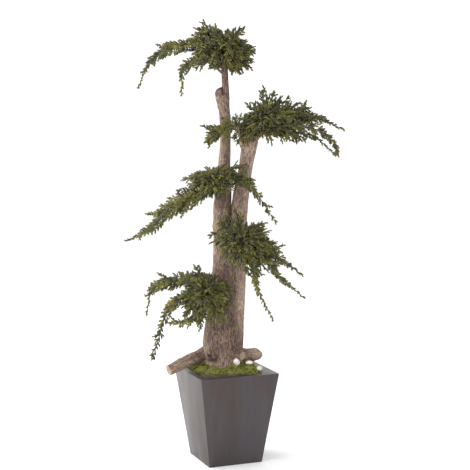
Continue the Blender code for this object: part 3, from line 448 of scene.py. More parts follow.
def stem_look(name, low_tone, high_tone):
    """Paleness, darkness and relief of a stem's bark: less pale down in the middle crown's painted
    shade, dark at the snag's torn end and left edge, and a painted shadow on the left stem's right
    edge below the middle crown, beside the cleft."""
    def look(point):
        darkness = 0.0
        if name == "snag":
            torn_end = (point.z - TORN_FROM) / 0.012
            left_edge = min((SNAG_LEFT - point.x) / 0.006, (point.z - SNAG_LOW) / 0.02)
            darkness = 0.5 * ramp(max(torn_end, left_edge), 1.0)
        elif name == "left_stem":
            # Painted shadow of the middle crown on the left stem's right edge.
            darkness = 0.30 * ramp(point.x - PAINTED_SHADOW_FROM_X, 0.018) * ramp(PAINTED_SHADOW_TOP - point.z, 0.04)
        tone = part_way(low_tone, high_tone, ramp(point.z - TONE_TURNS, 0.12))
        # Painted shade: paleness falls away below the middle crown.
        return tone - max(0.0, SHADED_BELOW - point.z), darkness, 1.0
    return look


for name, (stations, slope, grid, scales, seed, low_tone, high_tone) in STEM_BARK.items():
    bark_piece(name, stem_shape(stations, slope), grid, scales, seed, stem_look(name, low_tone, high_tone))


# Logs. A crooked left branch, sawn off short, a thick lumpy right one, worn round at its end, and a
# small stub cut at a slant in front, all pushed against the trunk's foot. Their bark is the trunk's,
# and the sawn ends show pale wood with rings.
def flow(points, count):
    """Points along a smooth line through the given ones."""
    points = [Vector(point) for point in points]
    padded = [2 * points[0] - points[1]] + points + [2 * points[-1] - points[-2]]
    line = []
    for k in range(count + 1):
        reach = (len(points) - 1) * k / count
        span = min(int(reach), len(points) - 2)
        t = reach - span
        a, b, c, d = padded[span:span + 4]
        line.append(0.5 * (2 * b + (c - a) * t + (2 * a - 5 * b + 4 * c - d) * t ** 2
                           + (3 * b - a - 3 * c + d) * t ** 3))
    return line


def along(line, share):
    """Point and direction at a share of the way along a line."""
    reach = share * (len(line) - 1)
    span = min(int(reach), len(line) - 2)
    return line[span].lerp(line[span + 1], reach - span), (line[span + 1] - line[span]).normalized()


def line_length(line):
    """The length of a line through its points."""
    return sum((b - a).length for a, b in zip(line, line[1:]))


def around(ahead, across, angle):
    """The direction at an angle round an axis, counted from a direction across it."""
    return across * math.cos(angle) + ahead.cross(across) * math.sin(angle)


def limb_shape(points, radii, lumps, round_end=0.0):
    """The skin of a leaning limb, lumpy and tapering; a round end draws in over its last part."""
    line = flow(points, 60)
    length = line_length(line)
    side = (line[-1] - line[0]).normalized().orthogonal()

    def shape(angle, share):
        middle, ahead = along(line, share)
        across = (side - ahead * side.dot(ahead)).normalized()
        outward = around(ahead, across, angle)
        radius = part_way(*radii, share)
        radius *= 1 + lumps * noise.noise((middle + outward * 0.03) * 24)
        if share > 1 - round_end:
            radius *= math.sqrt(max(1 - ((share - 1 + round_end) / round_end) ** 2, 0.16))
        return middle + outward * radius, outward, radius, share * length
    return shape


def even_look(tone):
    """The look of bark of one paleness all over."""
    return lambda point: (tone, 0.0, 1.0)


# Each log's line, its radii at both ends, how lumpy it is and the share of it that is rounded off.
LOGS = {
    "left_log": ([(-0.055, 0.018, 0.537), (-0.112, 0, 0.518), (-0.19, -0.048, 0.491),
                  (-0.273, -0.1, 0.459)], (0.037, 0.0262), 0.16, 0),
    "right_log": ([(0.05, 0.035, 0.511), (0.112, 0.037, 0.51), (0.148, 0.035, 0.508), (0.181, 0.033, 0.512)],
                  (0.036, 0.0275), 0.3, 0.32),
    "cut_stub": ([(0.046, -0.05, 0.508), (0.06, -0.068, 0.53), (0.082, -0.088, 0.5276)],
                 (0.026, 0.0215), 0.08, 0),
}
LOG_TONES = {"left_log": 0.50, "right_log": 1.05, "cut_stub": 0.25}
LOG_GRID, LOG_SCALES = (90, 130), (0.0066, 0.0022)
for number, (name, (points, radii, lumps, round_end)) in enumerate(LOGS.items()):
    bark_piece(name, limb_shape(points, radii, lumps, round_end), LOG_GRID, LOG_SCALES, 20.0 + number,
               even_look(LOG_TONES[name]))
heartwood = paint("sawn_wood", (0.42, 0.30, 0.20), 0.8)
mottle(heartwood, 70.0, 5.0, (0.3, (0.22, 0.145, 0.100)), (0.5, (0.315, 0.228, 0.160)),
       (0.7, (0.425, 0.325, 0.235)))
relief(heartwood, grain(heartwood, 260.0, 4.0), 0.0008)
SAWN_SHARE, SAWN_PROUD, SAWN_ROUGH = 0.94, 0.0004, 0.0009
RINGS, RING_SHARE, RING_DEPTH = 4, 0.19, 0.0003
for name in ("left_log", "cut_stub"):
    points, (_, end_radius) = LOGS[name][:2]
    line = flow(points, 60)
    ahead = (line[-1] - line[-2]).normalized()
    bm = bmesh.new()
    bmesh.ops.create_circle(bm, cap_ends=True, segments=40, radius=end_radius * SAWN_SHARE)
    for ring in range(RINGS):
        inner = max(bm.faces, key=lambda face: len(face.verts))
        bmesh.ops.inset_region(bm, faces=[inner], thickness=end_radius * RING_SHARE,
                               depth=RING_DEPTH * (-1) ** ring)
    for vert in bm.verts:
        vert.co.z += SAWN_ROUGH * noise.noise(vert.co * 160)
    bmesh.ops.transform(bm, verts=bm.verts, matrix=Matrix.Translation(line[-1] + ahead * SAWN_PROUD)
                        @ ahead.to_track_quat("Z", "Y").to_matrix().to_4x4())
    piece(name + "_sawn_end", planted(name + "_sawn_end", bm), heartwood, "bark")


# Moss. Preserved sheet moss and cushion moss laid on the fill as a mound, pressed against the wood and
# falling away to the right-hand corner. Along the pot's wall its edge is painted brown, like dead
# moss, as painted shade from the wall.
MOSS_EDGE, MOSS_CREST, MOSS_TUCK = 0.431, 0.480, 0.02
MOSS_SIDES, MOSS_RINGS = 180, 44
_, FOOT_X, FOOT_Y, FOOT_RADIUS = TRUNK[0]
MOSS_ROOT = FOOT_RADIUS * 0.80
CORNER_FROM, CORNER_OVER, CORNER_DROP = 0.125, 0.04, 0.020
# The last number sinks the brown band of painted shade along the wall a little.
LEFT_RISE, FRONT_DIP, FRONT_LIP, SHADE_BAND_DROP = 0.007, 0.013, 0.010, 0.004


def moss_wall(angle, z):
    """Distance from the trunk's middle to the pot's wall along an angle of the tree's frame."""
    half = (POT_FOOT + (POT_TOP - POT_FOOT) * z / POT_HEIGHT) / 2 - POT_WALL - WALL_PLAY
    turn = PLANT_TURN.to_2x2()
    start = turn @ Vector((FOOT_X, FOOT_Y))
    ahead = turn @ Vector((math.cos(angle), math.sin(angle)))
    return min((math.copysign(half, ahead[k]) - start[k]) / ahead[k]
               for k in range(2) if abs(ahead[k]) > 1e-6)


def moss_spot(angle, share, inner):
    """The place along an angle, at a share of the way from an inner radius out to the wall."""
    reach = part_way(inner, moss_wall(angle, MOSS_EDGE - MOSS_TUCK), share)
    return FOOT_X + reach * math.cos(angle), FOOT_Y + reach * math.sin(angle)


def hummocks(x, y, fineness, seed):
    """Soft unevenness over the moss."""
    return noise.noise(Vector((x * fineness, y * fineness, seed)))


def moss_place(x, y):
    """A place's share of the way from trunk to wall, its height on the mound and its share of the brown
    band of painted shade. The mound is higher on the left, sinks in front of the trunk and at the
    right-hand corner, and ends a little higher along the front wall, where most of its edge is
    painted brown as shade."""
    angle = math.atan2(y - FOOT_Y, x - FOOT_X)
    wall = moss_wall(angle, MOSS_EDGE - MOSS_TUCK)
    share = ramp(math.hypot(x - FOOT_X, y - FOOT_Y) - MOSS_ROOT, wall - MOSS_ROOT)
    crest = MOSS_CREST + LEFT_RISE * math.cos(angle + 0.44) - FRONT_DIP * max(0.0, -math.sin(angle)) ** 6
    front = max(0.0, math.cos(angle + 1.83)) ** 1.5
    edge = MOSS_EDGE + FRONT_LIP * front
    height = part_way(crest, edge, share ** (1.25 + 0.45 * max(0.0, math.cos(angle + 0.8))))
    height -= CORNER_DROP * ramp(x - CORNER_FROM, CORNER_OVER)
    height += 0.006 * hummocks(x, y, 22, 3.0) * math.sin(math.pi * share)
    height += 0.006 * abs(hummocks(x, y, 34, 9.0)) * (1 - share * share)
    height += 0.003 * hummocks(x, y, 120, 5.0)
    # Painted shade: past this share the moss turns brown, like dead moss, in a band along the wall that is
    # widest at the front.
    green_to = 0.93 - 0.33 * front + 0.09 * hummocks(x, y, 40, 7.0)
    painted_shade_band = ramp(share - green_to, 0.05)
    return share, height - SHADE_BAND_DROP * painted_shade_band, painted_shade_band


bm = bmesh.new()
bmesh.ops.create_grid(bm, x_segments=MOSS_SIDES, y_segments=MOSS_RINGS, size=0.5)
# Each place keeps its share of the brown band of painted shade.
painted_shade_edge = bm.verts.layers.float.new("painted_shade_edge")
for vert in bm.verts:
    x, y = moss_spot(math.tau * (vert.co.x + 0.5), vert.co.y + 0.5, MOSS_ROOT)
    _, height, vert[painted_shade_edge] = moss_place(x, y)
    vert.co = (x, y, height)
bmesh.ops.remove_doubles(bm, verts=bm.verts, dist=0.00001)
bmesh.ops.recalc_face_normals(bm, faces=bm.faces)
moss_bed = paint("moss_bed", (0.12, 0.13, 0.03), 0.95)
living = tones(moss_bed, grain(moss_bed, 46.0, 6.0), (0.32, (0.050, 0.048, 0.012)),
               (0.48, (0.15, 0.16, 0.030)), (0.60, (0.27, 0.27, 0.055)), (0.72, (0.38, 0.33, 0.11)))
# Brown, like dead moss: the painted shade along the pot's wall.
shade_band_brown = tones(moss_bed, grain(moss_bed, 90.0, 6.0), (0.34, (0.040, 0.028, 0.020)),
                 (0.52, (0.085, 0.060, 0.044)), (0.70, (0.150, 0.115, 0.082)))
feed(moss_bed, "Base Color", blend_tones(moss_bed, living, shade_band_brown, stored(moss_bed, "painted_shade_edge")))
relief(moss_bed, grain(moss_bed, 420.0, 5.0), 0.003)
piece("moss_mound", planted("moss_mound", bm), moss_bed, "moss", "moss")


def join_copies(name, forms, places, turns, sizes):
    """One mesh of many copies of a few small forms: each takes its place, turn and size."""
    kinds = np.arange(len(places)) % len(forms)
    spots = []
    corners = []
    start = 0
    for kind, (points, faces) in enumerate(forms):
        chosen = kinds == kind
        moved = np.einsum("vk,nkj->nvj", points, turns[chosen]) * sizes[chosen][:, None, None]
        moved += places[chosen][:, None, :]
        offsets = start + np.arange(chosen.sum()) * len(points)
        spots.append(moved.reshape(-1, 3))
        corners.append((faces[None] + offsets[:, None, None]).reshape(-1, 3))
        start += chosen.sum() * len(points)
    spots = np.concatenate(spots) @ np.array(PLANT_TURN.to_3x3()).T
    corners = np.concatenate(corners)
    mesh = bpy.data.meshes.new(name)
    mesh.vertices.add(len(spots))
    mesh.vertices.foreach_set("co", spots.astype(np.float32).ravel())
    mesh.loops.add(corners.size)
    mesh.loops.foreach_set("vertex_index", corners.astype(np.int32).ravel())
    mesh.polygons.add(len(corners))
    mesh.polygons.foreach_set("loop_start", np.arange(0, corners.size, 3, dtype=np.int32))
    mesh.update(calc_edges=True)
    mesh.validate()
    return mesh


def turns_to(aheads, normals):
    """Turns that carry x to each direction and z near each normal, as rows of their axes."""
    aheads = aheads / np.linalg.norm(aheads, axis=1)[:, None]
    sides = np.cross(normals, aheads)
    sides /= np.linalg.norm(sides, axis=1)[:, None]
    return np.stack([aheads, sides, np.cross(aheads, sides)], axis=1)


def root_ring(root, tip, wide):
    """Three points round the root of a stalk that runs to a tip."""
    ahead = (tip - root).normalized()
    across = ahead.orthogonal().normalized()
    return [root + around(ahead, across, angle) * wide for angle in (0.0, math.tau / 3, 2 * math.tau / 3)]


def stalk(root, tip, wide, bulge=1.0):
    """A slim three-sided stalk from root to tip, swelling to its middle, as points and faces."""
    root, tip = Vector(root), Vector(tip)
    ring = root_ring(root, tip, wide)
    middle = [point + (tip - root) * 0.55 + (point - root) * (bulge - 1) for point in ring]
    points = [tuple(point) for point in ring + middle + [tip]]
    faces = [(0, 1, 4), (0, 4, 3), (1, 2, 5), (1, 5, 4), (2, 0, 3), (2, 3, 5),
             (3, 4, 6), (4, 5, 6), (5, 3, 6)]
    return points, faces


def gather(stalks):
    """Several stalks as one shape: an array of points and one of faces."""
    points, faces = [], []
    for new_points, new_faces in stalks:
        faces += [[corner + len(points) for corner in face] for face in new_faces]
        points += new_points
    return np.array(points), np.array(faces)


# For each kind of tip: its dark and its light green, the seed of its patches, how many, and the longest.
MOSS_TIPS = {
    "bright": ((0.22, 0.232, 0.038), (0.42, 0.415, 0.085), 9.0, 4200, 0.0095),
    "dark": ((0.070, 0.080, 0.015), (0.17, 0.175, 0.036), 21.0, 4200, 0.0095),
    # The brown tips stand only in the band along the wall, as painted shade.
    "painted_shade_band": ((0.060, 0.042, 0.030), (0.145, 0.108, 0.074), 33.0, 1400, 0.006),
}
SHORTEST_TIP, TIP_SUNK, TIP_LEAN = 0.0045, 0.001, 0.9
EDGE_FROM, EDGE_LEAN, BARE_BELOW, SHADE_BAND_ABOVE = 0.9, 1.3, -0.12, 0.4
dice = random.Random(5)
tufts = [gather([stalk((0, 0, 0), (1.0, dice.uniform(-0.6, 0.6), dice.uniform(-0.6, 0.6)), 0.13, 1.1)
                 for _ in range(2)]) for _ in range(6)]
for kind, (low, high, seed, count, longest) in MOSS_TIPS.items():
    places, aheads = [], []
    while len(places) < count:
        angle, share = dice.uniform(0, math.tau), math.sqrt(dice.uniform(0.02, 0.99))
        x, y = moss_spot(angle, share, FOOT_RADIUS * 0.82)
        share, height, painted_shade_band = moss_place(x, y)
        # Brown tips only in the band of painted shade, green ones only outside it.
        if hummocks(x, y, 30, seed) > BARE_BELOW and (painted_shade_band > SHADE_BAND_ABOVE) == (kind == "painted_shade_band"):
            places.append((x, y, height - TIP_SUNK))
            inward = EDGE_LEAN if share > EDGE_FROM else 0.0
            aheads.append((dice.uniform(-1, 1) * TIP_LEAN - math.cos(angle) * inward,
                           dice.uniform(-1, 1) * TIP_LEAN - math.sin(angle) * inward, 1.0))
    sizes = np.array([dice.uniform(SHORTEST_TIP, longest) for _ in places])
    normals = np.array([(dice.uniform(-1, 1), dice.uniform(-1, 1), 0.1) for _ in places])
    mesh = join_copies("moss_" + kind, tufts, np.array(places), turns_to(np.array(aheads), normals), sizes)
    leaf = paint("moss_" + kind, high, 0.9)
    mottle(leaf, 130.0, 4.0, (0.35, low), (0.65, high))
    piece("moss_tips_" + kind, mesh, leaf, "moss")


# Pebbles. Three white river stones, worn smooth and a little uneven, with pinkish veins. They are only
# laid on: each one rests in the moss by its own weight.
PEBBLE_LIFT, UNEVEN, FINELY_UNEVEN = 0.001, 0.12, 0.012
# Each pebble's place on the moss, and half its length, width and height.
PEBBLES = {
    "pebble_1": ((0.0545, -0.083), (0.0165, 0.014, 0.017)),
    "pebble_2": ((0.115, -0.062), (0.0175, 0.012, 0.0098)),
    "pebble_3": ((0.166, -0.074), (0.014, 0.012, 0.013)),
}
stone = paint("white_stone", (0.80, 0.76, 0.68), 0.5)
mottle(stone, 55.0, 5.0, (0.30, (0.50, 0.36, 0.29)), (0.44, (0.78, 0.70, 0.62)),
       (0.60, (0.88, 0.86, 0.80)))
relief(stone, grain(stone, 300.0, 4.0), 0.0006, 0.6)
for number, (name, (place, halves)) in enumerate(PEBBLES.items()):
    bm = bmesh.new()
    bmesh.ops.create_icosphere(bm, subdivisions=5, radius=1.0)
    for vert in bm.verts:
        swell = 1 + UNEVEN * noise.noise(vert.co * 1.4 + Vector((number * 5, 0, 0)))
        swell += FINELY_UNEVEN * noise.noise(vert.co * 6)
        vert.co = Vector([way * half * swell for way, half in zip(vert.co, halves)])
    bottom = min(vert.co.z for vert in bm.verts)
    bed = moss_place(*place)[1] + PEBBLE_LIFT
    bmesh.ops.translate(bm, verts=bm.verts, vec=(*place, bed - bottom))
    piece(name + "_stone", planted(name + "_stone", bm), stone, "pebble", name)


# Boughs. Sixteen short limbs leave the stems and the trunk, each a juniper branch cut and set to
# carry one mass of foliage. They are thinner and smoother barked than the stems. Each has the points
# of its line and its radii at both ends.
BOUGHS = {
    "top_arm": ([(-0.004, 0.004, 1.898), (-0.026, 0.006, 1.92), (-0.042, 0.008, 1.942)], (0.0085, 0.0065)),
    "top_trail": ([(-0.004, -0.004, 1.878), (-0.022, -0.018, 1.892), (-0.04, -0.03, 1.906)], (0.008, 0.006)),
    "right_arm": ([(0.092, -0.016, 1.52), (0.078, -0.046, 1.545), (0.071, -0.06, 1.572)], (0.015, 0.008)),
    "right_trail": ([(0.128, 0.01, 1.53), (0.15, 0.022, 1.572), (0.182, 0.034, 1.596)], (0.015, 0.008)),
    "right_drop": ([(0.13, -0.018, 1.532), (0.152, -0.032, 1.576), (0.184, -0.048, 1.604)], (0.014, 0.008)),
    "middle": ([(-0.01, 0, 1.345), (-0.024, -0.04, 1.352), (-0.034, -0.06, 1.358)], (0.014, 0.009)),
    "middle_arm": ([(-0.014, 0.004, 1.318), (-0.052, -0.026, 1.326), (-0.078, -0.044, 1.33)], (0.013, 0.008)),
    "middle_trail": ([(0.004, 0, 1.35), (0.016, -0.034, 1.362), (0.024, -0.052, 1.374)], (0.0085, 0.006)),
    "middle_back": ([(-0.01, 0.01, 1.345), (-0.026, 0.054, 1.355), (-0.034, 0.072, 1.362)], (0.013, 0.009)),
    "low_right": ([(0.036, -0.02, 1.03), (0.05, -0.084, 1.048), (0.056, -0.104, 1.058)], (0.017, 0.01)),
    "low_right_trail": ([(0.058, -0.01, 0.99), (0.094, -0.078, 1.008), (0.108, -0.102, 1.014)],
                        (0.014, 0.008)),
    "low_right_back": ([(0.046, 0.02, 1.02), (0.062, 0.084, 1.044), (0.07, 0.104, 1.056)], (0.015, 0.01)),
    "low_left": ([(-0.01, -0.03, 0.8), (-0.048, -0.092, 0.812), (-0.058, -0.11, 0.818)], (0.017, 0.01)),
    "low_left_trail": ([(-0.03, -0.02, 0.826), (-0.086, -0.066, 0.838), (-0.104, -0.08, 0.842)],
                       (0.014, 0.008)),
    "low_left_drop": ([(-0.03, -0.02, 0.762), (-0.078, -0.078, 0.772), (-0.094, -0.094, 0.776)],
                      (0.014, 0.008)),
    "low_left_back": ([(-0.012, 0.02, 0.8), (-0.05, 0.086, 0.818), (-0.062, 0.106, 0.826)], (0.015, 0.01)),
}
PALE_BOUGHS, BOUGH_TONE, BOUGH_LUMPS = {"right_arm": 1.0}, 0.40, 0.12
BOUGH_GRID, BOUGH_SCALES = (32, 44), (0.006, 0.0014)
for number, (name, (points, radii)) in enumerate(BOUGHS.items()):
    bark_piece(name + "_bough", limb_shape(points, radii, BOUGH_LUMPS), BOUGH_GRID, BOUGH_SCALES,
               40.0 + number, even_look(PALE_BOUGHS.get(name, BOUGH_TONE)))


# Foliage. Preserved juniper branches wired on to the boughs: woody axes with side shoots on both
# sides, each shoot set with sprigs of scale leaves, yellow-green near the wood and dark outside.

# A trail hangs from its bough along one or more axes. Each axis has the points it runs through and
# the widths of its spray where it starts and where it ends. Shoots leave it past its start share.
TRAILS = {
    "top_arm": dict(bough="top_arm", seed=11, start=0.26, shoots=4, axes=[
        ([(-0.1, 0, 2.014), (-0.226, -0.01, 2.014), (-0.302, -0.022, 1.983), (-0.364, -0.04, 1.926),
          (-0.413, -0.06, 1.814)], (0.054, 0.004))]),
    "top_trail": dict(bough="top_trail", seed=12, start=0.38, shoots=1, axes=[
        ([(-0.112, -0.07, 1.944), (-0.196, -0.08, 1.908), (-0.206, -0.09, 1.78)], (0.038, 0.008))]),
    "right_arm": dict(bough="right_arm", seed=13, start=0.12, shoots=3, axes=[
        ([(0.058, -0.086, 1.632), (0.002, -0.102, 1.617), (-0.038, -0.108, 1.6), (-0.066, -0.11, 1.579),
          (-0.083, -0.11, 1.564)], (0.066, 0.012))]),
    "right_trail_high": dict(bough="right_trail", seed=14, start=0.38, shoots=1, axes=[
        ([(0.287, 0.044, 1.676), (0.433, 0.04, 1.676), (0.574, 0.04, 1.614)], (0.046, 0.006)),
        ([(0.27, 0.054, 1.6), (0.42, 0.06, 1.586), (0.53, 0.06, 1.498)], (0.03, 0.005))]),
    "right_trail_low": dict(bough="right_drop", seed=15, start=0.36, shoots=2, axes=[
        ([(0.308, -0.06, 1.64), (0.446, -0.08, 1.611), (0.522, -0.08, 1.546), (0.532, -0.08, 1.5)],
         (0.034, 0.008))]),
    "middle_arm": dict(bough="middle_arm", seed=16, start=0.14, shoots=3, axes=[
        ([(-0.183, -0.095, 1.288), (-0.273, -0.1, 1.23), (-0.359, -0.105, 1.147), (-0.474, -0.11, 1.088)],
         (0.076, 0.004))]),
    "middle_trail": dict(bough="middle_trail", seed=17, start=0.22, shoots=3, axes=[
        ([(0.07, -0.09, 1.38), (0.13, -0.09, 1.34), (0.241, -0.1, 1.174)], (0.036, 0.011))]),
    "low_right_trails": dict(bough="low_right_trail", seed=18, start=0.34, shoots=1, axes=[
        ([(0.19, -0.13, 1.046), (0.27, -0.13, 1), (0.363, -0.14, 0.93)], (0.038, 0.006)),
        ([(0.19, -0.15, 1.01), (0.256, -0.16, 0.928), (0.374, -0.17, 0.822)], (0.04, 0.006)),
        ([(0.134, -0.16, 0.984), (0.152, -0.18, 0.872), (0.226, -0.18, 0.716)], (0.034, 0.007))]),
    "low_left_arm": dict(bough="low_left_trail", seed=19, start=0.16, shoots=4, axes=[
        ([(-0.17, -0.12, 0.896), (-0.24, -0.125, 0.897), (-0.302, -0.135, 0.884), (-0.35, -0.14, 0.858),
          (-0.377, -0.14, 0.742)], (0.054, 0.006))]),
    "low_left_drop": dict(bough="low_left_drop", seed=20, start=0.2, shoots=2, axes=[
        ([(-0.16, -0.13, 0.82), (-0.268, -0.15, 0.768), (-0.346, -0.16, 0.528)], (0.044, 0.015)),
        ([(-0.12, -0.13, 0.74), (-0.18, -0.14, 0.708), (-0.266, -0.14, 0.694)], (0.044, 0.013))]),
}

# A crown stands on its bough, or on a foot at the top of a stem. Its reach from its heart is given
# for eight bearings round the broad side (right, upper right, up, upper left, left, lower left, down,
# lower right) and for front and back. Tips stand out of that outline.
CROWNS = {
    "top_crown": dict(
        foot=(-0.006, 0.002, 1.93), heart=(0, 0, 1.984), plumes=120, seed=31, front=0.165, back=0.175,
        reach=(0.142, 0.106, 0.09, 0.166, 0.16, 0.104, 0.08, 0.126),
        tips=[(-0.1, 0, 0.118), (-0.136, 0.01, 0.108), (-0.06, -0.02, 0.108), (0.02, 0.02, 0.104),
              (0.138, 0, 0), (-0.14, -0.03, -0.076), (0.06, 0, -0.092), (0.066, 0, 0.114),
              (-0.156, 0.02, 0.078), (0.118, 0, -0.072), (-0.07, 0.175, 0.02), (-0.106, 0.01, 0.136),
              (0.086, -0.01, 0.104), (0.02, -0.175, 0.03)]),
    "right_crown": dict(
        foot=(0.114, -0.005, 1.556), heart=(0.18, 0, 1.652), plumes=120, seed=32, front=0.165, back=0.175,
        reach=(0.2, 0.124, 0.088, 0.072, 0.102, 0.138, 0.052, 0.084),
        tips=[(0.255, 0.01, 0.03), (0.245, -0.02, -0.01), (0.262, 0, 0.008), (-0.048, 0.01, 0.09),
              (-0.142, -0.05, -0.07), (0.165, -0.01, -0.088), (-0.12, -0.06, -0.085), (-0.091, -0.07, -0.104),
              (-0.06, -0.06, -0.064), (-0.129, -0.05, -0.037), (-0.116, -0.04, 0.016), (-0.085, -0.08, -0.05),
              (0.041, -0.03, -0.096), (0.135, -0.02, -0.088), (-0.005, -0.05, -0.068), (0.17, 0.01, 0.086),
              (-0.072, 0, 0.08), (0.052, 0.01, 0.138), (0.084, 0.01, 0.112), (0.122, 0.01, 0.114),
              (0.2, -0.04, -0.082), (0.104, 0, -0.086), (-0.116, -0.03, -0.096), (-0.034, -0.06, -0.068),
              (-0.02, 0.18, 0.01), (0.006, 0.01, 0.158), (0.216, 0, 0.062), (0.06, -0.178, 0.01)]),
    "middle_crown": dict(
        bough="middle", heart=(-0.052, -0.096, 1.378), plumes=90, seed=33, front=0.11, back=0.12,
        reach=(0.12, 0.1, 0.046, 0.05, 0.134, 0.125, 0.08, 0.09),
        tips=[(0.15, -0.03, -0.008), (0.152, 0, 0.072), (-0.01, 0, 0.04), (-0.098, 0.01, 0.018),
              (-0.06, 0.01, 0.03), (-0.09, 0, -0.12), (0.186, -0.01, -0.002), (0.126, 0.02, 0.062),
              (-0.142, 0.02, 0.004), (-0.06, -0.1, -0.07)]),
    "middle_crown_back": dict(
        bough="middle_back", heart=(-0.05, 0.108, 1.366), plumes=70, seed=34, front=0.08, back=0.12,
        reach=(0.11, 0.085, 0.056, 0.075, 0.11, 0.09, 0.06, 0.08),
        tips=[(0.12, 0.03, 0.01), (-0.02, 0.14, 0.01), (-0.13, 0.03, -0.02)]),
    "low_right_crown": dict(
        bough="low_right", heart=(0.084, -0.158, 1.092), plumes=100, seed=35, front=0.105, back=0.14,
        reach=(0.136, 0.102, 0.076, 0.1, 0.135, 0.115, 0.132, 0.165),
        tips=[(-0.144, 0, -0.002), (-0.102, -0.02, 0.098), (-0.084, 0, 0.1), (-0.071, 0, 0.122),
              (-0.099, -0.01, 0.083), (-0.112, 0.01, 0.07), (-0.014, 0.01, 0.122), (0.096, 0.01, 0.084),
              (-0.061, -0.04, -0.094), (-0.099, -0.03, -0.044), (0.042, 0, 0.082), (0.116, 0.01, 0.046),
              (0.172, 0.01, -0.046), (-0.03, 0, 0.11), (0.11, -0.02, -0.135), (0.026, 0.01, -0.16),
              (-0.036, 0.02, 0.146), (-0.147, 0.01, 0.03), (0.02, -0.12, -0.03), (0.15, -0.01, -0.008)]),
    "low_right_crown_back": dict(
        bough="low_right_back", heart=(0.086, 0.15, 1.07), plumes=70, seed=36, front=0.08, back=0.115,
        reach=(0.11, 0.09, 0.065, 0.08, 0.1, 0.08, 0.07, 0.095),
        tips=[(0.12, 0.03, -0.01), (0.02, 0.135, -0.01), (-0.11, 0.03, 0)]),
    "low_left_crown": dict(
        bough="low_left", heart=(-0.086, -0.16, 0.844), plumes=100, seed=37, front=0.105, back=0.14,
        reach=(0.114, 0.092, 0.092, 0.126, 0.125, 0.15, 0.122, 0.118),
        tips=[(0.114, 0, -0.056), (0.092, 0, -0.11), (0.078, -0.02, -0.126), (0.014, 0, -0.142),
              (0.126, 0, 0.002), (0.074, -0.02, 0.044), (-0.092, 0.01, 0.092), (0.098, 0.03, 0.022),
              (-0.11, 0, -0.11), (-0.034, 0, 0.094), (0.044, 0, -0.132), (-0.052, 0.02, 0.119),
              (0.114, 0.03, -0.006), (-0.04, -0.115, -0.02)]),
    "low_left_crown_back": dict(
        bough="low_left_back", heart=(-0.078, 0.152, 0.836), plumes=70, seed=38, front=0.08, back=0.115,
        reach=(0.1, 0.08, 0.062, 0.08, 0.095, 0.08, 0.07, 0.085),
        tips=[(-0.11, 0.03, -0.01), (-0.01, 0.135, 0.01), (0.105, 0.03, 0)]),
}
STEMS = (TRUNK, LEFT_STEM, RIGHT_STEM, TOP_STEM)
BARK_PLAY = 0.002
YELLOWING, YELLOW_PATCH, YELLOW_BELOW, YELLOW_ALL_OVER = 0.42, 17, 3.4, 0.30
SPRIG_LONG, SPRIG_SHORT, LAST_SPRIG = 0.0300, 0.0145, 0.018
TIP_SPRIG = SPRIG_LONG * 0.85
# Ranges for the dice: how far sprigs, loose sprigs and shoots lean, in degrees, and how their
# lengths and a plume's foot and reach vary.
SPRIG_LEANS, LOOSE_LEANS, SHOOT_LEANS = (26, 42), (12, 34), (30, 45)
SPRIG_PLAY, SHOOT_PLAY, SHOOT_ROLL = (0.8, 1.15), (0.72, 1.12), 0.75
PLUME_PLAY, PLUME_FOOT, PLUME_ARCH = (0.78, 0.98), (0.08, 0.22), 0.06
SHOOT_LEAN, SHORTEST_SHOOT, LONGEST_SHOOT = math.radians(38), 0.024, 0.100
FIRST_STRAIGHT, NEXT_STRAIGHT = 0.012, 0.0072
TRAIL_YELLOW, CROWN_YELLOW = 0.30, 0.20
# Radii at the foot and the tip of each kind of woody axis, and at the tip of a side shoot.
TRAIL_AXIS, TRAIL_SHOOT = (0.0050, 0.0014), (0.0022, 0.0009)
CROWN_AXIS, PLUME_AXIS = (0.008, 0.0045), (0.0030, 0.0009)
SHOOT_END = 0.0007
BEARINGS, GOLDEN_TURN = 8, 2.39996
# A sprig is kept as its root, direction, normal and length, and its spray's warmth and luck; a twig
# as its line and its radii at both ends.
sprigs, twigs = [], []


def in_the_wood(point):
    """Whether a point lies inside the trunk or a stem."""
    for stations in STEMS:
        if stations[0][0] <= point.z <= stations[-1][0]:
            x, y, radius = between(stations, point.z)
            if math.hypot(point.x - x, point.y - y) < radius + BARK_PLAY:
                return True
    return False


def add_sprig(root, ahead, normal, length, spray):
    """One more sprig on the list, unless it would stand in the wood."""
    if not in_the_wood(root + ahead * length * 0.5):
        sprigs.append((tuple(root), tuple(ahead), tuple(normal), length, spray))


def warmth(point, foot, reach, level):
    """How yellow a spray is: olive close to the wood and under a mass, dark on top and outside it, and
    changing a little from one plume to the next."""
    near = 1 - (point - foot).length / reach
    patch = noise.noise(point * YELLOW_PATCH + Vector((3.0, 5.0, 7.0)))
    below = (level - point.z) * YELLOW_BELOW
    return ramp(near * YELLOWING + below + patch * YELLOWING + YELLOW_ALL_OVER, 1.0)


def side_of(ahead, normal, angle, hand, roll):
    """A direction off to one side of an axis, within a spray's plane but for a little roll."""
    beside = Matrix.Rotation(roll, 3, ahead) @ ahead.cross(normal).normalized() * hand
    return (ahead * math.cos(angle) + beside * math.sin(angle)).normalized()


def any_way(reach):
    """A small random push, the same reach along each axis."""
    return Vector([dice.uniform(-reach, reach) for _ in range(3)])


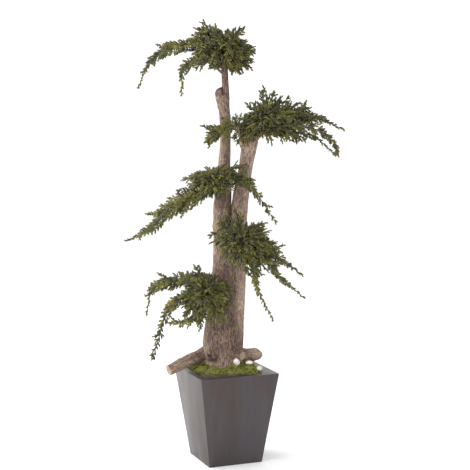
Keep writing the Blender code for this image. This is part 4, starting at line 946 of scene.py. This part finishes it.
def set_sprigs(line, normal, spray, pitch):
    """Sprigs alternately on both sides of a thin shoot, shorter to its end, and one at its tip."""
    count = max(1, round((line[-1] - line[0]).length / pitch))
    for k in range(count):
        share = (k + 0.6) / (count + 0.6)
        root, ahead = along(line, share)
        aim = side_of(ahead, normal, math.radians(dice.uniform(*SPRIG_LEANS)), (-1) ** k,
                      dice.uniform(-0.5, 0.5))
        add_sprig(root, aim, normal, SPRIG_LONG * (1.05 - 0.45 * share) * dice.uniform(*SPRIG_PLAY), spray)
    last = line[-1] - line[-2]
    add_sprig(line[-1] - last * 0.3, last.normalized(), normal, TIP_SPRIG, spray)


def grow(line, normal, widths, start, radii, warm, bushy=False, droop=0.0, fall=1.0, pitch=0.0085,
         close=0.0100):
    """An axis with side shoots past its start share, and sprigs set on them and between them.

    The shoots narrow from the first width to the second, falling off evenly at 1.0, and droop by a
    share of their length. A bushy axis turns each third shoot out of the spray's plane. Pitch is
    the step between shoots and close the step between the sprigs on one."""
    length = line_length(line)
    count = max(2, round(length * (1 - start) / pitch))
    twigs.append((line, *radii))
    for k in range(count):
        share = start + (1 - start) * (k + 0.5) / count
        root, ahead = along(line, share)
        width = part_way(*widths, ((share - start) / (1 - start)) ** fall)
        reach = width / math.sin(SHOOT_LEAN) * dice.uniform(*SHOOT_PLAY)
        roll = dice.uniform(-SHOOT_ROLL, SHOOT_ROLL) + (math.pi / 2 if bushy and k % 3 == 2 else 0.0)
        aim = side_of(ahead, normal, math.radians(dice.uniform(*SHOOT_LEANS)), (-1) ** k, roll)
        spray = (warm(root), dice.random())
        if k % 2:
            beside = side_of(ahead, normal, math.radians(dice.uniform(*LOOSE_LEANS)), dice.choice((-1, 1)),
                             dice.uniform(-1.5, 1.5))
            add_sprig(root + ahead * pitch * 0.5, beside, normal,
                      min(TIP_SPRIG, 0.012 + width), spray)
        if reach < SHORTEST_SHOOT:
            add_sprig(root, aim, normal, max(reach * 1.05, SPRIG_SHORT), spray)
            continue
        tip = root + aim * (reach - SPRIG_LONG * 0.6)
        bend = root.lerp(tip, 0.5) + ahead * reach * 0.07
        tip += ahead * reach * 0.10 + Vector((0, 0, -droop * reach))
        shoot = flow([root, bend, tip], 4)
        twigs.append((shoot, radii[1] * 1.1, SHOOT_END))
        set_sprigs(shoot, (normal + any_way(0.5)).normalized(), spray, close)
    onward = (line[-1] - line[-2]).normalized()
    add_sprig(line[-1] - onward * 0.012, onward, normal, LAST_SPRIG, (warm(line[-1]), dice.random()))


def bough_tip(name):
    """Where a bough ends, and the direction it has there."""
    line = flow(BOUGHS[name][0], 2)
    return line[-1], (line[-1] - line[-2]).normalized()


for trail in TRAILS.values():
    dice = random.Random(trail["seed"])
    foot, ahead = bough_tip(trail["bough"])
    start = trail["start"]

    def trail_warmth(point):
        return warmth(point, foot, TRAIL_YELLOW, point.z)

    for number, (through, widths) in enumerate(trail["axes"]):
        straight = FIRST_STRAIGHT if number == 0 else NEXT_STRAIGHT
        line = [foot] + flow([foot + ahead * straight] + through, 40)
        normal = Vector((dice.uniform(-0.3, 0.3), -1, dice.uniform(-0.3, 0.3))).normalized()
        grow(line, normal, widths, start * 0.45, TRAIL_AXIS, trail_warmth, bushy=True, droop=0.05,
             fall=0.92, pitch=0.0068, close=0.0102)
        for k in range(trail["shoots"]):
            share = 0.10 + 0.70 * k / max(trail["shoots"] - 1, 1)
            root, onward = along(line, start + (1 - start) * share)
            aim = side_of(onward, Vector((0, 1, 0)), math.radians(40), (-1) ** k, dice.uniform(-0.7, 0.7))
            width = part_way(*widths, share)
            length = min(width * dice.uniform(1.6, 2.2), LONGEST_SHOOT)
            bend = root + aim * length * 0.5 + onward * length * 0.06
            grow(flow([root, bend, root + aim * length], 12), normal, (length * 0.24, length * 0.08), 0.08,
                 TRAIL_SHOOT, trail_warmth)


def reach_towards(crown, aim):
    """How far a crown reaches in a direction: an ellipse between its broad side and its depth."""
    turn = (math.atan2(aim.z, aim.x) / (math.tau / BEARINGS)) % BEARINGS
    bearing = int(turn) % BEARINGS
    share = ease(turn - int(turn))
    broad = crown["reach"][bearing] * (1 - share) + crown["reach"][(bearing + 1) % BEARINGS] * share
    deep = crown["front"] if aim.y < 0 else crown["back"]
    return 1 / math.sqrt((math.hypot(aim.x, aim.z) / broad) ** 2 + (aim.y / deep) ** 2)


for crown in CROWNS.values():
    dice = random.Random(crown["seed"])
    heart = Vector(crown["heart"])
    if "bough" in crown:
        foot, ahead = bough_tip(crown["bough"])
    else:
        foot, ahead = Vector(crown["foot"]), Vector((0, 0, 1))
    twigs.append((flow([foot, foot + ahead * FIRST_STRAIGHT, heart], 8), *CROWN_AXIS))

    def crown_warmth(point):
        return warmth(point, foot, CROWN_YELLOW, heart.z)

    tips = [Vector(tip) for tip in crown["tips"]]
    for k in range(crown["plumes"]):
        height = 1 - 2 * (k + 0.5) / crown["plumes"]
        turn = GOLDEN_TURN * k + dice.uniform(-0.25, 0.25)
        flat = math.sqrt(1 - height * height)
        aim = Vector((flat * math.cos(turn), flat * math.sin(turn), height + dice.uniform(-0.1, 0.1)))
        aim.normalize()
        tips.append(aim * reach_towards(crown, aim) * dice.uniform(*PLUME_PLAY))
    for tip in tips:
        length = tip.length
        root = tip * dice.uniform(*PLUME_FOOT)
        middle = tip * 0.62 + Vector((0, 0, PLUME_ARCH * length))
        line = [heart + point for point in flow([root, middle, tip], 10)]
        if in_the_wood(line[-1]) or in_the_wood(line[6]):
            continue
        onward = tip.normalized()
        normal = (Vector((0, 0, 1)) + any_way(0.9)).cross(onward).cross(onward).normalized()
        grow(line, normal, (length * 0.24, 0.012), 0.16, PLUME_AXIS, crown_warmth, bushy=True,
             droop=0.06, pitch=0.0130, close=0.0115)


# Twigs. The thin brown wood inside the foliage, preserved with it and still supple: the axes that come
# off the boughs and the shoots on both sides of them, each one tapering to its tip. They are joined as
# one piece of plain tubes, five-sided where they are thick and three-sided where they are thin.
THICK_TWIG = 0.0022


def tube(line, low, high, sides):
    """A plain tube along a line, its radius running from low to high, as points and faces."""
    points, faces = [], []
    across = (line[1] - line[0]).orthogonal().normalized()
    for k, point in enumerate(line):
        ahead = (line[min(k + 1, len(line) - 1)] - line[max(k - 1, 0)]).normalized()
        across = (across - ahead * across.dot(ahead)).normalized()
        radius = low + (high - low) * k / (len(line) - 1)
        for side in range(sides):
            points.append(tuple(point + around(ahead, across, math.tau * side / sides) * radius))
    for k in range(len(line) - 1):
        for side in range(sides):
            after = (side + 1) % sides
            a, b = k * sides + side, k * sides + after
            faces += [(a, b, b + sides), (a, b + sides, a + sides)]
    return points, faces


tubes = []
for line, low, high in twigs:
    bends = line[::4] + [line[-1]] if len(line) > 20 else line[::2]
    tubes.append(tube(bends, low, high, 5 if low > THICK_TWIG else 3))
twig_bark = paint("twig_bark", (0.13, 0.085, 0.055), 0.85)
mottle(twig_bark, 90.0, 4.0, (0.35, (0.075, 0.052, 0.035)), (0.65, (0.20, 0.14, 0.09)))
relief(twig_bark, grain(twig_bark, 500.0, 3.0), 0.0006)
mesh = join_copies("twigs", [gather(tubes)], np.zeros((1, 3)), np.eye(3)[None], np.ones(1))
piece("twigs", mesh, twig_bark, "bark")


# Sprigs. Juniper's scale leaves, preserved and dyed in four greens: each sprig is a green stalk with
# pairs of shorter stalks leaning ahead, nearly in one plane, and grows from a twig. Eight forms are
# turned and sized along the twigs and joined in pieces by colour, dealt out by spray.
SPRIG_FORMS, MOST_TRIANGLES, OFF_AXIS = 8, 190000, 1e-4
LEAF_PAIRS = ((0.04, 0.48), (0.22, 0.54), (0.42, 0.48), (0.60, 0.36))
LEAF_TONES = {
    "deep": ((0.043, 0.043, 0.016), (0.102, 0.100, 0.037)),
    "olive": ((0.093, 0.090, 0.021), (0.197, 0.185, 0.043)),
    "bright": ((0.146, 0.142, 0.029), (0.280, 0.267, 0.058)),
    "grey": ((0.080, 0.084, 0.045), (0.172, 0.181, 0.090)),
}


def spike(root, tip, wide):
    """A short plump stalk: three faces that meet at its tip."""
    root, tip = Vector(root), Vector(tip)
    return [tuple(point) for point in root_ring(root, tip, wide) + [tip]], [(0, 1, 3), (1, 2, 3), (2, 0, 3)]


def sprig_shape():
    """One form of sprig, 1 long: a middle stalk and four pairs of shorter ones that lean ahead."""
    stalks = [stalk((0, 0, 0), (1.0, 0, dice.uniform(-0.05, 0.05)), 0.100, 1.45)]
    for share, reach in LEAF_PAIRS:
        for hand in (-1, 1):
            root = (share + dice.uniform(-0.05, 0.05), 0, 0)
            long = reach * dice.uniform(0.8, 1.15)
            lean = math.radians(dice.uniform(18, 29))
            stalks.append(spike(root, (root[0] + long * math.cos(lean), hand * long * math.sin(lean),
                                      dice.uniform(-0.14, 0.14)), 0.120))
    return gather(stalks)


def leaf_tone(warm, luck):
    """The colour that a spray is dealt: deep or grey green as a rule, olive or bright where it is warm."""
    if luck < 0.50 - 0.36 * warm:
        return "deep"
    if luck < 0.76 - 0.56 * warm:
        return "grey"
    return "olive" if luck < 0.96 - 0.26 * warm else "bright"


dice = random.Random(77)
forms = [sprig_shape() for _ in range(SPRIG_FORMS)]
batch = MOST_TRIANGLES // len(forms[0][1])
for tone, (low, high) in LEAF_TONES.items():
    group = [sprig for sprig in sprigs if leaf_tone(*sprig[4]) == tone]
    leaf = paint("juniper_" + tone, high, 0.72)
    mottle(leaf, 60.0, 5.0, (0.36, low), (0.64, high))
    for number, first in enumerate(range(0, len(group), batch)):
        roots, aheads, normals, lengths, _ = zip(*group[first:first + batch])
        turns = turns_to(np.array(aheads), np.array(normals) + OFF_AXIS)
        mesh = join_copies("sprigs", forms, np.array(roots), turns, np.array(lengths))
        masses = [*TRAILS, *CROWNS] if tone == "deep" and number == 0 else []
        piece(f"sprigs_{tone}_{number + 1}", mesh, leaf, "foliage", *masses)


# Studio. A plain white floor, soft white light all round and two softboxes on the left, as the photo's
# pot shows by its bright left face. The lens and its place come from a fit to the pot's edges, and the
# camera stands at eye level, looking a little down.
FLOOR_HALF, WORLD_LIGHT = 60.0, 1.15
CAMERA_AT, TILT_DOWN = (0.046, -5.63, 1.661), 5.63
SENSOR, FOCAL_PIXELS, PHOTO_PIXELS = 36.0, 1164.4, 470
# Each softbox's place, the place it faces, its size and its power.
SOFTBOXES = {
    "softbox_left": ((-3.4, -2.6, 3.2), (0.0, 0.0, 1.1), 3.6, 100.0),
    "softbox_back_left": ((-3.8, 2.4, 2.4), (0.0, 0.0, 0.7), 2.6, 165.0),
}
bm = bmesh.new()
bmesh.ops.create_grid(bm, x_segments=1, y_segments=1, size=FLOOR_HALF)
floor = put_in("floor", to_mesh("floor", bm))
floor.data.materials.append(paint("studio_floor", (0.95, 0.95, 0.95), 0.9))
world = bpy.data.worlds.new("studio")
world.use_nodes = True
world.node_tree.nodes["Background"].inputs["Color"].default_value = (1.0, 1.0, 1.0, 1.0)
world.node_tree.nodes["Background"].inputs["Strength"].default_value = WORLD_LIGHT
bpy.context.scene.world = world
for name, (place, aim, size, power) in SOFTBOXES.items():
    lamp = bpy.data.lights.new(name, "AREA")
    lamp.size = size
    lamp.energy = power
    stand = put_in(name, lamp)
    spot = PLANT_TURN @ Vector(place)
    facing = (PLANT_TURN @ Vector(aim) - spot).to_track_quat("-Z", "Y")
    stand.matrix_world = Matrix.Translation(spot) @ facing.to_matrix().to_4x4()
lens = bpy.data.cameras.new("photo_camera")
lens.sensor_width = SENSOR
lens.lens = SENSOR * FOCAL_PIXELS / PHOTO_PIXELS
eye = put_in("photo_camera", lens)
eye.matrix_world = (PLANT_TURN @ Matrix.Translation(CAMERA_AT)
                    @ Matrix.Rotation(math.radians(90 - TILT_DOWN), 4, "X"))
bpy.context.scene.camera = eye
bpy.context.scene.view_settings.view_transform = "Standard"
